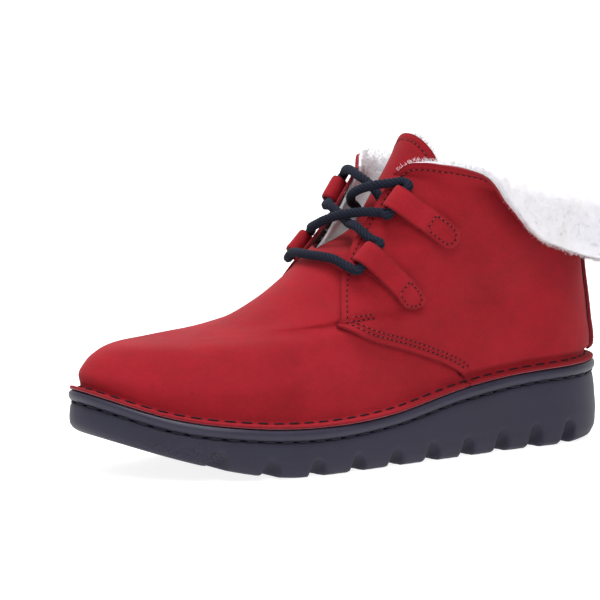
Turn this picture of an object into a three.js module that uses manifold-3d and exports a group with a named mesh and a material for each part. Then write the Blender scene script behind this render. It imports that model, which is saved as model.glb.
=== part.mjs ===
// Lace-up ankle boot, left foot, stitch-down build on a lugged wedge sole.
// Millimetres. +X to the toe, +Y to the outside of the foot (lateral), +Z up, ground at Z = 0.
import * as THREE from "three";
import Module from "manifold-3d";

const wasm = await Module();
wasm.setup();

// ---------------------------------------------------------------- sizes
const HEEL_X = -140; // back of the sole
const TOE_X = 138.5; // front of the sole
const BALL_WIDTH = 98; // the sole across the ball of the foot
const BAND = 5.4; // height of the half-round midsole band
const SKIN_GAP = 0.3; // clearance between pieces that touch
const LEATHER = 1.6; // upper leather
const LIFT = LEATHER + (0.45 * BALL_WIDTH) / 98; // quarters lie one leather above the vamp
const FLEECE = 6; // shearling pile and skin
const CREASE = 2; // radius where the upper turns out into the flange
const FLANGE = 2.6; // flat width of the flange beyond the crease
const BOARD = 1.8; // insole board
const FOOTBED = 5.5;
const COVER = 2.2; // footbed cover
const NOTCHES = 10; // scoops along each side of the sole
const NOTCH_FIRST = 91;
const NOTCH_PITCH = 24.6;
const NOTCH_EASE = 0.26; // the pitch closes up towards the heel
const NOTCH_WIDTH = 9;
const NOTCH_HEIGHT = 8.8; // at the forefoot; the scoops rise towards the heel
const NOTCH_REACH = 17; // how far a scoop runs in under the sole
const LACE = 4.5; // round lace, diameter
const STRAP_WIDTH = 12; // lace loops
const STRAP = 1.4; // loop leather
const STRIP_ANGLE = 16; // half the back strip, degrees round the heel

// ---------------------------------------------------------------- curves
const rad = Math.PI / 180;
const clamp = (v, a, b) => Math.min(b, Math.max(a, v));
const lerp = (a, b, f) => a + (b - a) * f;
const smooth = (a, b, v) => {
  const f = clamp((v - a) / (b - a), 0, 1);
  return f * f * (3 - 2 * f);
};

// A smooth curve through the points [x, y].
function curve(points) {
  const n = points.length;
  const step = (i) => points[i + 1][0] - points[i][0];
  const rise = (i) => (points[i + 1][1] - points[i][1]) / step(i);
  const slope = points.map((_, i) => {
    if (i === 0) return rise(0);
    if (i === n - 1) return rise(n - 2);
    return (rise(i - 1) * step(i) + rise(i) * step(i - 1)) / (step(i) + step(i - 1));
  });
  return (x) => {
    const v = clamp(x, points[0][0], points[n - 1][0]);
    let i = 0;
    while (i < n - 2 && v >= points[i + 1][0]) i++;
    const h = step(i);
    const s = (v - points[i][0]) / h;
    return (
      points[i][1] * (2 * s ** 3 - 3 * s ** 2 + 1) +
      slope[i] * h * (s ** 3 - 2 * s ** 2 + s) +
      points[i + 1][1] * (3 * s ** 2 - 2 * s ** 3) +
      slope[i + 1] * h * (s ** 3 - s ** 2)
    );
  };
}

// A table of rows over t, each row a set of values over u.
function sheet(ts, us, rows) {
  const along = rows.map((row) => curve(row.map((v, i) => [us[i], v])));
  return (u, t) => curve(ts.map((s, i) => [s, along[i](u)]))(t);
}

// ---------------------------------------------------------------- sole
const MID_X = (HEEL_X + TOE_X) / 2;
const HALF = (TOE_X - HEEL_X) / 2;

// The curves and tables are drawn on a pattern from -140 to 138.5, 98 across the ball, and are
// graded from it to the sizes above.
const PATTERN_MID = -0.75;
const LONG = (TOE_X - HEEL_X) / 278.5;
const WIDE = BALL_WIDTH / 98;
const graded = (x) => MID_X + (x - PATTERN_MID) * LONG;
const drawn = (x) => PATTERN_MID + (x - MID_X) / LONG;

const seatCurve = curve([
  [-140, 39], [-90, 37.6], [-45, 33], [0, 24.8], [35, 22.5], [75, 24.3], [110, 29.8], [140, 41],
]);
const seatZ = (x) => seatCurve(drawn(x));
const treadZ = (x) => 0.017 * Math.max(0, drawn(x) - 50) ** 1.6;
const lateralHalf = curve([
  [0, 58], [0.06, 55], [0.2, 42], [0.35, 40.9], [0.5, 45.5], [0.7, 57.8], [0.85, 64], [1, 64],
]);
const medialHalf = curve([
  [0, 58], [0.06, 54], [0.2, 40], [0.35, 34.5], [0.5, 34.5], [0.7, 48], [0.85, 55], [1, 55],
]);
const swing = curve([[0, 0], [0.6, 0], [0.75, -2], [0.9, -5.5], [1, -8]]);

// A point of the sole's outline at angle a (0 at the toe, 90 degrees lateral), set in by inset.
function outline(a, inset) {
  const u = (1 + Math.cos(a)) / 2;
  const half = Math.sin(a) >= 0 ? lateralHalf(u) : medialHalf(u);
  return [MID_X + (HALF - inset) * Math.cos(a), swing(u) + (half * WIDE - inset) * Math.sin(a)];
}

const group = new THREE.Group();

function add(name, geometry, color, roughness = 0.8, metalness = 0) {
  const mesh = new THREE.Mesh(geometry, new THREE.MeshStandardMaterial({ color, roughness, metalness }));
  mesh.name = name;
  group.add(mesh);
  return mesh;
}

// A closed shell from points and faces, turned so that its faces look outwards.
function shell(points, faces) {
  const p = points.flat();
  let volume = 0;
  for (const [a, b, c] of faces) {
    const [A, B, C] = [a, b, c].map((i) => new THREE.Vector3(...points[i]));
    volume += A.dot(B.cross(C));
  }
  const turned = volume < 0 ? faces.map(([a, b, c]) => [a, c, b]) : faces;
  const g = new THREE.BufferGeometry();
  g.setAttribute("position", new THREE.Float32BufferAttribute(p, 3));
  g.setIndex(turned.flat());
  g.computeVertexNormals();
  return g;
}

// Closed rings of the same count, joined side by side; both ends are closed across the sole.
function stack(rings) {
  const n = rings[0].length;
  const faces = [];
  const at = (r, i) => r * n + (i % n);
  for (let r = 0; r + 1 < rings.length; r++)
    for (let i = 0; i < n; i++)
      faces.push([at(r, i), at(r + 1, i), at(r + 1, i + 1)], [at(r, i), at(r + 1, i + 1), at(r, i + 1)]);
  const last = rings.length - 1;
  for (const [r, flip] of [[0, false], [last, true]])
    for (let i = 0; i < n / 2; i++) {
      const quad = [at(r, i), at(r, i + 1), at(r, n - i - 1), at(r, n - i)];
      const tris = [[quad[0], quad[1], quad[2]], [quad[0], quad[2], quad[3]]];
      for (const t of tris)
        if (new Set(t).size === 3) faces.push(flip ? [t[0], t[2], t[1]] : t);
    }
  return shell(rings.flat(), faces);
}

// One ring of the sole, count points round, at height z(x).
function soleRing(inset, z, count = 48) {
  return Array.from({ length: count }, (_, i) => {
    const a = (2 * Math.PI * i) / count;
    const [x, y] = outline(a, typeof inset === "function" ? inset(a) : inset);
    return [x, y, z(x)];
  });
}

const manifoldOf = (g) =>
  new wasm.Manifold(
    new wasm.Mesh({
      numProp: 3,
      vertProperties: new Float32Array(g.attributes.position.array),
      triVerts: new Uint32Array(g.index.array),
    }),
  );

function geometryOf(solid) {
  const m = solid.getMesh();
  const g = new THREE.BufferGeometry();
  g.setAttribute("position", new THREE.BufferAttribute(m.vertProperties, 3));
  g.setIndex(new THREE.BufferAttribute(m.triVerts, 1));
  g.computeVertexNormals();
  return g;
}

// Wall of the outsole: share of the height and the inset there, at the forefoot and at the heel.
const outsoleTop = (x) => seatZ(x) - BAND - SKIN_GAP;
const wall = [
  [1, 2.4, 2.4],
  [0.95, 1.1, 1.2],
  [0.8, 0.7, 0.4],
  [0.45, 0.3, -0.6],
  [0.2, 0.5, -0.2],
  [0.06, 2, 2.2],
  [0, 4.5, 7],
];
const outsoleRings = wall.map(([share, fore, heel]) =>
  soleRing(
    (a) => lerp(fore, heel, smooth(-0.3, -0.95, Math.cos(a))),
    (x) => lerp(treadZ(x), outsoleTop(x), share),
  ),
);

// One scoop in the side wall: an arch that narrows and sinks as it runs in under the sole.
function notch(index, side) {
  const x = graded(NOTCH_FIRST - NOTCH_PITCH * index + NOTCH_EASE * index ** 2);
  const a = Math.acos(clamp((x - MID_X) / HALF, -1, 1)) * side;
  const edge = outline(a, 0)[1];
  const height = NOTCH_HEIGHT + 0.03 * Math.max(0, -drawn(x));
  const base = treadZ(x);
  const arch = (scale, y) => {
    const points = [];
    for (let k = 0; k <= 8; k++) {
      const s = Math.PI * (k / 8);
      const wide = (NOTCH_WIDTH / 2) * (0.35 + 0.65 * scale);
      const over = k === 4 ? 0 : wide * Math.cos(s);
      points.push([x + over, y, base + height * scale * Math.sin(s) ** 0.8]);
    }
    points.push([x - (NOTCH_WIDTH / 2) * scale, y, base - 8], [x + (NOTCH_WIDTH / 2) * scale, y, base - 8]);
    return points;
  };
  const loops = [
    arch(1.25, edge + side * 6),
    arch(1, edge - side * 1),
    arch(0.72, edge - side * 5),
    arch(0.36, edge - side * 11),
    arch(0.08, edge - side * NOTCH_REACH),
  ];
  const n = loops[0].length;
  const faces = [];
  for (let r = 0; r + 1 < loops.length; r++)
    for (let i = 0; i < n; i++) {
      const j = (i + 1) % n;
      faces.push([r * n + i, (r + 1) * n + i, (r + 1) * n + j], [r * n + i, (r + 1) * n + j, r * n + j]);
    }
  const last = (loops.length - 1) * n;
  for (let i = 1; i + 1 < n; i++) faces.push([0, i, i + 1], [last, last + i + 1, last + i]);
  return manifoldOf(shell(loops.flat(), faces));
}

const scoops = [];
for (let k = 0; k < NOTCHES; k++) scoops.push(notch(k, 1), notch(k, -1));
const outsole = manifoldOf(stack(outsoleRings)).subtract(wasm.Manifold.union(scoops));
add("outsole", geometryOf(outsole), 0x46444f, 0.6);

const midsoleRings = [[2.6, 0], [1.2, 0], [0.3, 1.2], [0, BAND / 2], [0.3, BAND - 1.2], [2.4, BAND]].map(
  ([inset, down]) => soleRing(inset, (x) => seatZ(x) - down),
);
add("midsole", stack(midsoleRings), 0x4b4957, 0.5);

// Pieces inside the upper stand further in on a wider or longer sole, as the upper does.
const inside = (inset) => inset + 12 * (WIDE - 1) + 8 * (LONG - 1);
const boardRing = (inset, up) => soleRing(inside(inset), (x) => seatZ(x) + up, 36);
const boardTop = SKIN_GAP + BOARD;
add("insole_board", stack([boardRing(8.2, boardTop), boardRing(8.2, SKIN_GAP)]), 0xb59a74, 0.9);

// A flat bar under the foot that follows the seat.
function shankBar(grow) {
  const xs = [-98, -80, -60, -40, -20, -4].map(graded);
  const low = boardTop + SKIN_GAP - grow;
  const points = [];
  const ends = xs.map((x, i) => (i === 0 ? x - grow : i === xs.length - 1 ? x + grow : x));
  for (const x of ends)
    for (const [y, up] of [[-7, 0], [7, 0], [7, 1.2], [-7, 1.2]])
      points.push([x, y + Math.sign(y) * grow, seatZ(x) + low + (up ? up + 2 * grow : 0)]);
  const faces = [[0, 1, 2], [0, 2, 3]];
  for (let s = 0; s + 1 < ends.length; s++)
    for (let i = 0; i < 4; i++) {
      const [a, b] = [s * 4 + i, s * 4 + ((i + 1) % 4)];
      faces.push([a, a + 4, b + 4], [a, b + 4, b]);
    }
  const e = (ends.length - 1) * 4;
  faces.push([e, e + 2, e + 1], [e, e + 3, e + 2]);
  return shell(points, faces);
}
add("shank", shankBar(0), 0x9a9ea3, 0.35, 0.9);

const bedLow = boardTop + SKIN_GAP;
const heelCup = (x) => 2.5 * smooth(-20, -90, x);
const bedEdge = inside(1.5 * FLEECE + 2 * LEATHER + 3.6);
const bedInset = (a) => bedEdge + 2 * smooth(-0.3, -0.9, Math.cos(a));
const bedRings = [
  soleRing(bedEdge + 6.2, (x) => seatZ(x) + bedLow + FOOTBED, 36),
  soleRing(bedInset, (x) => seatZ(x) + bedLow + FOOTBED + 1 + heelCup(x), 36),
  soleRing(bedInset, (x) => seatZ(x) + bedLow, 36),
];
const bed = manifoldOf(stack(bedRings)).subtract(manifoldOf(shankBar(SKIN_GAP)));
add("footbed", geometryOf(bed), 0x3b3b42, 0.95);
const coverLow = bedLow + FOOTBED + (SKIN_GAP + 0.1) * LONG ** 2;
const coverRings = [
  soleRing(bedEdge + 5.8, (x) => seatZ(x) + coverLow + COVER, 36),
  soleRing((a) => bedInset(a) + 0.6, (x) => seatZ(x) + coverLow + COVER + 1 + heelCup(x), 36),
  soleRing((a) => bedInset(a) + 0.6, (x) => seatZ(x) + coverLow + 1 + heelCup(x), 36),
  soleRing(bedEdge + 6.6, (x) => seatZ(x) + coverLow, 36),
];
add("footbed_cover", stack(coverRings), 0xe9e4d8, 1);

// ---------------------------------------------------------------- upper surface
// The upper is a stack of rings t, from the crease (0) to the collar's fold (1). Each ring runs
// from the back line to the front line; a is the angle round it and u its share from back to front.
const frontX = curve([
  [0, 132.8], [0.1, 133.8], [0.18, 132], [0.27, 127.3], [0.36, 118.5], [0.45, 102], [0.54, 82],
  [0.62, 64.5], [0.7, 48], [0.78, 33], [0.86, 18], [0.93, 2], [1, -15], [1.15, -29],
]);
const frontZ = curve([
  [0, 41.6], [0.1, 46.8], [0.18, 50.3], [0.27, 55.2], [0.36, 59.5], [0.45, 61.3], [0.54, 63.2],
  [0.62, 66.6], [0.7, 73.4], [0.78, 82.5], [0.86, 94.2], [0.93, 110.5], [1, 134.5], [1.15, 160],
]);
const backX = curve([
  [0, -134.3], [0.08, -135], [0.25, -133], [0.45, -131],
  [0.65, -128.8], [0.8, -127.8], [1, -127], [1.15, -127],
]);
const backZ = (t) => 42.5 + 67.5 * t;
const widthT = [0, 0.15, 0.3, 0.45, 0.6, 0.8, 1, 1.15];
const widthU = [0, 0.08, 0.2, 0.4, 0.6, 0.8, 1];
const collarWidth = [43, 40.5, 36.3, 34.7, 37.2, 43, 41];
const ankleWidth = [45, 41.5, 36, 34.7, 35.2, 40, 40];
const lateralWidth = sheet(widthT, widthU, [
  [52, 48, 36.5, 36.5, 46, 56, 58],
  [54, 48.5, 37.5, 35.5, 44.5, 54, 56],
  [54, 48.5, 37.5, 33.5, 40.5, 46, 47],
  [52, 47, 37, 33, 38, 36, 34],
  [49, 44.5, 36, 33, 35, 41, 37],
  ankleWidth, collarWidth, collarWidth,
]);
const medialWidth = sheet(widthT, widthU, [
  [52, 47, 34.5, 28, 35, 49, 49],
  [54, 48, 36, 29, 35, 47, 47],
  [54, 48, 36.5, 31, 35, 42, 42],
  [52, 47, 36, 32, 35, 34, 33],
  [49, 44.5, 35.5, 32.5, 34.5, 40, 36],
  ankleWidth, collarWidth, collarWidth,
]);

const backEdge = (t) => graded(backX(t));
const frontEdge = (t) => graded(frontX(t));
const share = (a) => (1 + Math.cos(a)) / 2;
const angleOf = (u) => Math.acos(clamp(2 * u - 1, -1, 1));

function ring(a, t) {
  const u = share(a);
  const footX = lerp(backEdge(0), frontEdge(0), u);
  const seatHere = seatZ(footX) + CREASE + LEATHER + 0.35;
  const sag = (seatHere - lerp(backZ(0), frontZ(0), u)) * Math.max(0, 1 - 2 * t) ** 2;
  const half = Math.sin(a) >= 0 ? lateralWidth(u, t) : medialWidth(u, t);
  return new THREE.Vector3(
    lerp(backEdge(t), frontEdge(t), u),
    swing(u) * (1 - smooth(0.2, 0.8, t)) + half * WIDE * Math.sin(a),
    lerp(backZ(t), frontZ(t), u) + sag,
  );
}

function outwards(a, t) {
  const d = ring(a + 0.001, t).sub(ring(a - 0.001, t));
  return new THREE.Vector3(d.y, -d.x, 0).normalize();
}

// The collar rolls over outwards: how much of it there is, how far it turns and how tightly.
const rollLength = curve([
  [0, 38.5], [0.24, 36.4], [0.42, 33.7], [0.545, 24.7], [0.62, 17.5], [0.683, 14.5], [0.735, 12],
  [0.8125, 10], [0.884, 8.5], [0.93, 6], [0.962, 1], [1, 1],
]);
const rollTurn = curve([
  [0, 180], [0.33, 178], [0.42, 174], [0.545, 165], [0.62, 150], [0.683, 115], [0.735, 65],
  [0.8125, 28], [0.884, 8], [0.94, 0], [1, 0],
]);
const rollRadius = curve([
  [0, 4.9], [0.42, 5], [0.545, 5.1], [0.62, 5.5], [0.683, 7.5], [0.735, 10],
  [0.8125, 18], [0.884, 20], [1, 20],
]);

// r runs from -1 (rim of the flange) through 0 (crease) and 1 (start of the roll) to 2 (the cut edge).
function surface(a, r) {
  const t = clamp(r, 0, 1);
  const u = share(a);
  const turn = (clamp(-2 * r, 0, 1) * Math.PI) / 2;
  const run = clamp(r - 1, 0, 1) * rollLength(u);
  const radius = rollRadius(u);
  const bend = Math.min(run / radius, rollTurn(u) * rad);
  const rest = run - bend * radius;
  const out =
    CREASE * (1 - Math.cos(turn)) +
    clamp(-2 * r - 1, 0, 1) * FLANGE +
    radius * (1 - Math.cos(bend)) +
    rest * Math.sin(bend);
  const up = -CREASE * Math.sin(turn) + radius * Math.sin(bend) + rest * Math.cos(bend);
  const p = ring(a, t);
  const seatHere = seatZ(p.x);
  p.addScaledVector(outwards(a, t), out);
  p.z += up + (r < 0 ? seatZ(p.x) - seatHere : 0);
  return p;
}

function normal(a, r, of = surface) {
  const e = 0.001;
  const across = of(a + e, r).sub(of(a - e, r));
  const along = of(a, r + e).sub(of(a, r - e));
  return across.cross(along).normalize();
}
const offset = (a, r, by, of = surface) => of(a, r).addScaledVector(normal(a, r, of), by);

// A sheet of material between two offsets. at(i, j) gives [angle, r]; outer and inner are offsets.
function panel(columns, rows, at, outer, inner, of = surface) {
  const points = [];
  for (const side of [outer, inner])
    for (let j = 0; j < rows; j++)
      for (let i = 0; i < columns; i++) {
        const [a, r] = at(i / (columns - 1), j);
        points.push(offset(a, r, side(a, r), of).toArray());
      }
  const faces = [];
  const back = rows * columns;
  const id = (i, j) => j * columns + i;
  const quad = (p, q, s, t) => faces.push([p, q, s], [p, s, t]);
  for (let j = 0; j + 1 < rows; j++)
    for (let i = 0; i + 1 < columns; i++) {
      quad(id(i, j), id(i + 1, j), id(i + 1, j + 1), id(i, j + 1));
      quad(back + id(i, j), back + id(i, j + 1), back + id(i + 1, j + 1), back + id(i + 1, j));
    }
  for (let i = 0; i + 1 < columns; i++) {
    quad(id(i, 0), back + id(i, 0), back + id(i + 1, 0), id(i + 1, 0));
    quad(id(i, rows - 1), id(i + 1, rows - 1), back + id(i + 1, rows - 1), back + id(i, rows - 1));
  }
  for (let j = 0; j + 1 < rows; j++) {
    quad(id(0, j), id(0, j + 1), back + id(0, j + 1), back + id(0, j));
    const [p, q] = [id(columns - 1, j), id(columns - 1, j + 1)];
    quad(p, back + p, back + q, q);
  }
  return shell(points, faces);
}

// Front edge of a quarter: its share u of the ring, from the flange up the throat.
const quarterFront = curve([
  [0, 0.325], [0.07, 0.352], [0.14, 0.39], [0.23, 0.455], [0.32, 0.545], [0.41, 0.62], [0.485, 0.685],
  [0.6, 0.762], [0.7, 0.836], [0.8, 0.905], [0.86, 0.942], [0.93, 0.962], [1, 0.962],
]);
const VAMP_TOP = 0.885;
const lift = (r) => LIFT * smooth(0, 0.1, r);
const red = 0xa5232f;
const white = 0xebe7f0;

// ---------------------------------------------------------------- vamp
const flangeRows = [-1, -0.5, -0.25, 0];
const vampRows = [...flangeRows, 0.1, 0.18, 0.26, 0.34, 0.42, 0.5, 0.6, 0.7, 0.8, VAMP_TOP];
const vampBack = (r) => quarterFront(clamp(r, 0, 1)) + 0.003 - 0.038 * smooth(0.1, 0.2, r);
add(
  "vamp",
  panel(
    25,
    vampRows.length,
    (f, j) => [angleOf(vampBack(vampRows[j])) * (1 - 2 * f), vampRows[j]],
    () => 0,
    () => -LEATHER,
  ),
  red,
);

const vampLiningRows = [0.03, 0.1, 0.18, 0.27, 0.36, 0.46, 0.56, 0.66, 0.75, 0.83];
const vampLiningOut = -LEATHER - 2.3;
add(
  "vamp_lining",
  panel(
    21,
    vampLiningRows.length,
    (f, j) => [angleOf(quarterFront(vampLiningRows[j]) + 0.016) * (1 - 2 * f), vampLiningRows[j]],
    () => vampLiningOut,
    () => vampLiningOut - 4,
  ),
  white,
  1,
);

const puffRows = [0.03, 0.12, 0.21, 0.3, 0.4];
add(
  "toe_puff",
  panel(
    11,
    puffRows.length,
    (f, j) => [42 * rad * (1 - 2 * f), puffRows[j]],
    () => -LIFT,
    () => -LIFT - 0.9,
  ),
  0xc9bda2,
  0.9,
);

// ---------------------------------------------------------------- quarters
const quarterRows = [
  ...flangeRows, 0.1, 0.18, 0.26, 0.34, 0.42, 0.5, 0.6, 0.7, 0.8, VAMP_TOP, 0.95, 1,
  1.08, 1.16, 1.24, 1.32, 1.4, 1.6, 1.8, 2,
];
const liningRows = [0.03, ...quarterRows.slice(4)];
const liningOut = (a, r) => lerp(-LIFT - 0.4, -0.65, smooth(VAMP_TOP, 0.97, r));
const liningThick = (a, r) => {
  const edge = quarterFront(clamp(r, 0, 1));
  const throat = smooth(edge - 0.16, edge - 0.03, share(a)) * smooth(0.4, 0.6, r);
  return lerp(lerp(FLEECE, 5.4, smooth(0.9, 1.1, r)), 2.4, throat);
};
const heelSeam = Math.PI - 0.004;
for (const [side, name] of [[1, "lateral"], [-1, "medial"]]) {
  const start = (row, back) => angleOf(quarterFront(clamp(row, 0, 1)) - back);
  const span = (row, back) => (f) => side * lerp(start(row, back), heelSeam, f);
  add(
    name + "_quarter",
    panel(
      17,
      quarterRows.length,
      (f, j) => [span(quarterRows[j], 0)(f), quarterRows[j]],
      (a, r) => lift(r),
      (a, r) => lift(r) - LEATHER,
    ),
    red,
  );
  add(
    name + "_quarter_lining",
    panel(
      17,
      liningRows.length,
      (f, j) => [span(liningRows[j], 0.008)(f), liningRows[j]],
      liningOut,
      (a, r) => liningOut(a, r) - liningThick(a, r),
    ),
    white,
    1,
  );
}

const counterRows = [0.1, 0.2, 0.3, 0.4, 0.5];
add(
  "heel_counter",
  panel(
    17,
    counterRows.length,
    (f, j) => [Math.PI + lerp(-1, 1, f) * lerp(68, 46, j / 4) * rad, counterRows[j]],
    () => 0,
    () => -1.2,
  ),
  0xc9bda2,
  0.9,
);

const stripRows = [0.1, 0.18, 0.26, 0.34, 0.42, 0.5, 0.6, 0.7, 0.8, VAMP_TOP];
add(
  "back_strip",
  panel(
    7,
    stripRows.length,
    (f, j) => [Math.PI + lerp(-1, 1, f) * STRIP_ANGLE * rad, stripRows[j]],
    (a, r) => lift(r) + LIFT,
    (a, r) => lift(r) + SKIN_GAP,
  ),
  0x8f1d28,
);

// ---------------------------------------------------------------- tongue
const TONGUE_BASE = 0.862;
const TONGUE_TOP = 1.125;
const tongueDeep = (a, t) => -LIFT - 8 * smooth(0.87, 0.945, t);
const tongueHalf = (t) => rad * lerp(25, 41, smooth(0.9, 1, t));
const tongueRows = 9;
const tongueAt = (f, j) => {
  const v = j / (tongueRows - 1);
  const across = 2 * f - 1;
  const top = TONGUE_TOP - 0.08 * Math.abs(across) ** 2.4;
  return [-across * tongueHalf(lerp(TONGUE_BASE, TONGUE_TOP, v)), lerp(TONGUE_BASE, top, v)];
};
add("tongue", panel(13, tongueRows, tongueAt, tongueDeep, (a, t) => tongueDeep(a, t) - LEATHER, ring), red);
const tongueLiningAt = (f, j) => tongueAt(lerp(0.03, 0.97, f), j).map((v, k) => (k ? lerp(v, 1, 0.02) : v));
add(
  "tongue_lining",
  panel(
    13,
    tongueRows,
    tongueLiningAt,
    (a, t) => tongueDeep(a, t) - LIFT,
    (a, t) => tongueDeep(a, t) - LIFT - 3.6,
    ring,
  ),
  white,
  1,
);

// ---------------------------------------------------------------- lace loops
// A flat place on a quarter: s runs from the tunnel to the sewn end, w across, h up.
function seat(side, head, tail) {
  const turn = ([deg, t]) => [side * deg * rad, t];
  const [h, e] = [turn(head), turn(tail)];
  const origin = surface(...h);
  const end = surface(...e);
  const up = normal(lerp(h[0], e[0], 0.5), lerp(h[1], e[1], 0.5));
  const along = end.clone().sub(origin);
  along.addScaledVector(up, -along.dot(up)).normalize();
  const across = up.clone().cross(along).multiplyScalar(side);
  const length = end.clone().sub(origin).dot(along);
  const place = (s, w, high) => {
    let a = lerp(h[0], e[0], s / length);
    let t = lerp(h[1], e[1], s / length);
    for (let k = 0; k < 6; k++) {
      const p = surface(a, t).sub(origin);
      const da = surface(a + 0.001, t).sub(surface(a, t)).multiplyScalar(1000);
      const dt = surface(a, t + 0.001).sub(surface(a, t)).multiplyScalar(1000);
      const [m00, m01, m10, m11] = [da.dot(along), dt.dot(along), da.dot(across), dt.dot(across)];
      const [e0, e1] = [s - p.dot(along), w - p.dot(across)];
      const det = m00 * m11 - m01 * m10;
      a += (e0 * m11 - e1 * m01) / det;
      t += (e1 * m00 - e0 * m10) / det;
    }
    return offset(a, t, LIFT + high);
  };
  return { length, place };
}

const TUNNEL = LACE / 2 + 0.5;
const STRAP_GAP = 0.6; // clearance over the curved quarter
const TUNNEL_H = STRAP_GAP + STRAP + TUNNEL;

// Side view of a loop: flat leaf with its sewn end cut to round, then the head with the lace's bore.
function strapProfile(w, length) {
  const round = STRAP_WIDTH / 2;
  const end = length + Math.sqrt(Math.max(0, round ** 2 - w ** 2)) + 0.3;
  const top = STRAP_GAP + STRAP + 0.5;
  const stations = [0, 0.33, 0.67, 1].map((f) => lerp(12, end - 0.8, f));
  const low = stations.map((s) => [s, STRAP_GAP]);
  const high = stations.map((s) => [s, top]).reverse();
  const rim = Array.from({ length: 9 }, (_, k) => {
    const a = -Math.PI / 2 - ((8 - k) / 8) * (Math.PI + 0.35);
    return [(TUNNEL + STRAP) * Math.cos(a), TUNNEL_H + (TUNNEL + STRAP) * Math.sin(a)];
  });
  return [[5, STRAP_GAP], ...low, [end, STRAP_GAP], [end, top - 0.5], ...high, ...rim];
}

function strap({ length, place }) {
  const cuts = [-1, -0.8, -0.4, 0, 0.4, 0.8, 1].map((f) => (f * STRAP_WIDTH) / 2);
  const bore = Array.from({ length: 10 }, (_, k) => {
    const a = -(k / 10) * 2 * Math.PI;
    return [TUNNEL * Math.cos(a), TUNNEL_H + TUNNEL * Math.sin(a)];
  });
  const slice = (w) => [...strapProfile(w, length), ...bore].map(([s, h]) => place(s, w, h).toArray());
  const slices = cuts.map(slice);
  const flat = [...strapProfile(STRAP_WIDTH / 2, length), ...bore].map(([s, h]) => new THREE.Vector2(s, h));
  const n = flat.length;
  const m = n - bore.length;
  // cap: the head with its bore, then the leaf in short pieces so that it follows the quarter
  const head = [0, 1, ...Array.from({ length: m - 10 }, (_, i) => 10 + i)];
  const ids = [...head, ...bore.map((_, i) => m + i)];
  const cap = THREE.ShapeUtils.triangulateShape(head.map((i) => flat[i]), [flat.slice(m)]).map((t) => {
    const [a, b, c] = t.map((i) => ids[i]);
    return THREE.ShapeUtils.area([flat[a], flat[b], flat[c]]) > 0 ? [a, b, c] : [a, c, b];
  });
  for (let i = 1; i < 5; i++) cap.push([i, i + 1, 10 - i], [i, 10 - i, 11 - i]);
  const last = (slices.length - 1) * n;
  const faces = cap.flatMap(([a, b, c]) => [[a, c, b], [last + a, last + b, last + c]]);
  for (let c = 0; c + 1 < slices.length; c++)
    for (const [from, count] of [[0, m], [m, n - m]])
      for (let i = 0; i < count; i++) {
        const [p, q] = [c * n + from + i, c * n + from + ((i + 1) % count)];
        faces.push([p, q, q + n], [p, q + n, p + n]);
      }
  return shell(slices.flat(), faces);
}

const loopSeats = {
  upper: [[35.6, 0.962], [63.6, 0.922]],
  lower: [[40.9, 0.855], [76, 0.672]],
};
const seats = {};
for (const [side, name] of [[1, "lateral"], [-1, "medial"]])
  for (const [level, [head, tail]] of Object.entries(loopSeats)) {
    const spot = seat(side, head, tail);
    seats[name + "_" + level] = spot;
    add(name + "_" + level + "_loop", strap(spot), 0xa8272f);
  }

// ---------------------------------------------------------------- lace
// Points of the lace's centre line: [angle, t, height over the upper] on the open runs, and the
// tunnel of each loop between them, entered at its lower (-1) or upper (1) mouth.
const tunnel = (name, from) => {
  const { place } = seats[name];
  const upper = place(0, 7, TUNNEL_H).z > place(0, -7, TUNNEL_H).z ? 1 : -1;
  return [-1, -0.55, 0, 0.55, 1].map((w) => place(0, 8.8 * w * -from * upper, TUNNEL_H));
};
const run = (points) => points.map(([deg, t, high]) => offset(deg * rad, t, high, ring));
const mirror = (points) => points.map(([deg, t, high]) => [-deg, t, high]);
const laceEnd = [[-58, 0.935, -10.2], [-50, 0.943, -9.4], [-42, 0.95, -7.9], [-33, 0.957, -6.7]];
const lacePoints = [
  ...run([...laceEnd, [-24, 0.96, -6.2]]),
  ...run([[-15, 0.962, -3.4], [-4, 0.967, 0.6], [8, 0.972, 3.4], [18, 0.978, 4.7], [26, 0.983, 5.1]]),
  ...run([[33, 0.9875, 5.5]]),
  ...tunnel("lateral_upper", 1),
  ...run([[32, 0.945, 5], [22, 0.944, 4.8], [12, 0.94, 4.4], [3, 0.934, 4.4], [-8, 0.924, 4.4]]),
  ...run([[-18, 0.913, 4.7], [-27, 0.904, 5.4]]),
  ...tunnel("medial_lower", 1),
  ...run([[-33, 0.832, 5.2], [-24, 0.85, 4.4], [-10, 0.86, 3.3], [3, 0.862, 3.1], [14, 0.86, 3.6]]),
  ...run([[24, 0.853, 4.5], [33, 0.835, 5.2]]),
  ...tunnel("lateral_lower", -1),
  ...run([[35, 0.898, 5.8], [28, 0.911, 5.2], [21, 0.922, 4.5], [11, 0.931, 0.4], [2, 0.938, -1.4]]),
  ...run([[-8, 0.943, 0.4], [-20, 0.946, 4.6], [-29, 0.947, 5.1]]),
  ...tunnel("medial_upper", -1),
  ...run([[-34, 0.988, 6.4], [-27, 0.992, 5.6], [-18, 0.993, 3.9], [-8, 0.99, 1.2], [2, 0.986, -1.6]]),
  ...run([[12, 0.978, -4], [22, 0.966, -6], ...mirror([...laceEnd].reverse())]),
];
const laceCurve = new THREE.CatmullRomCurve3(lacePoints, false, "centripetal");
laceCurve.arcLengthDivisions = 600;
const laceLength = laceCurve.getLength();

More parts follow.
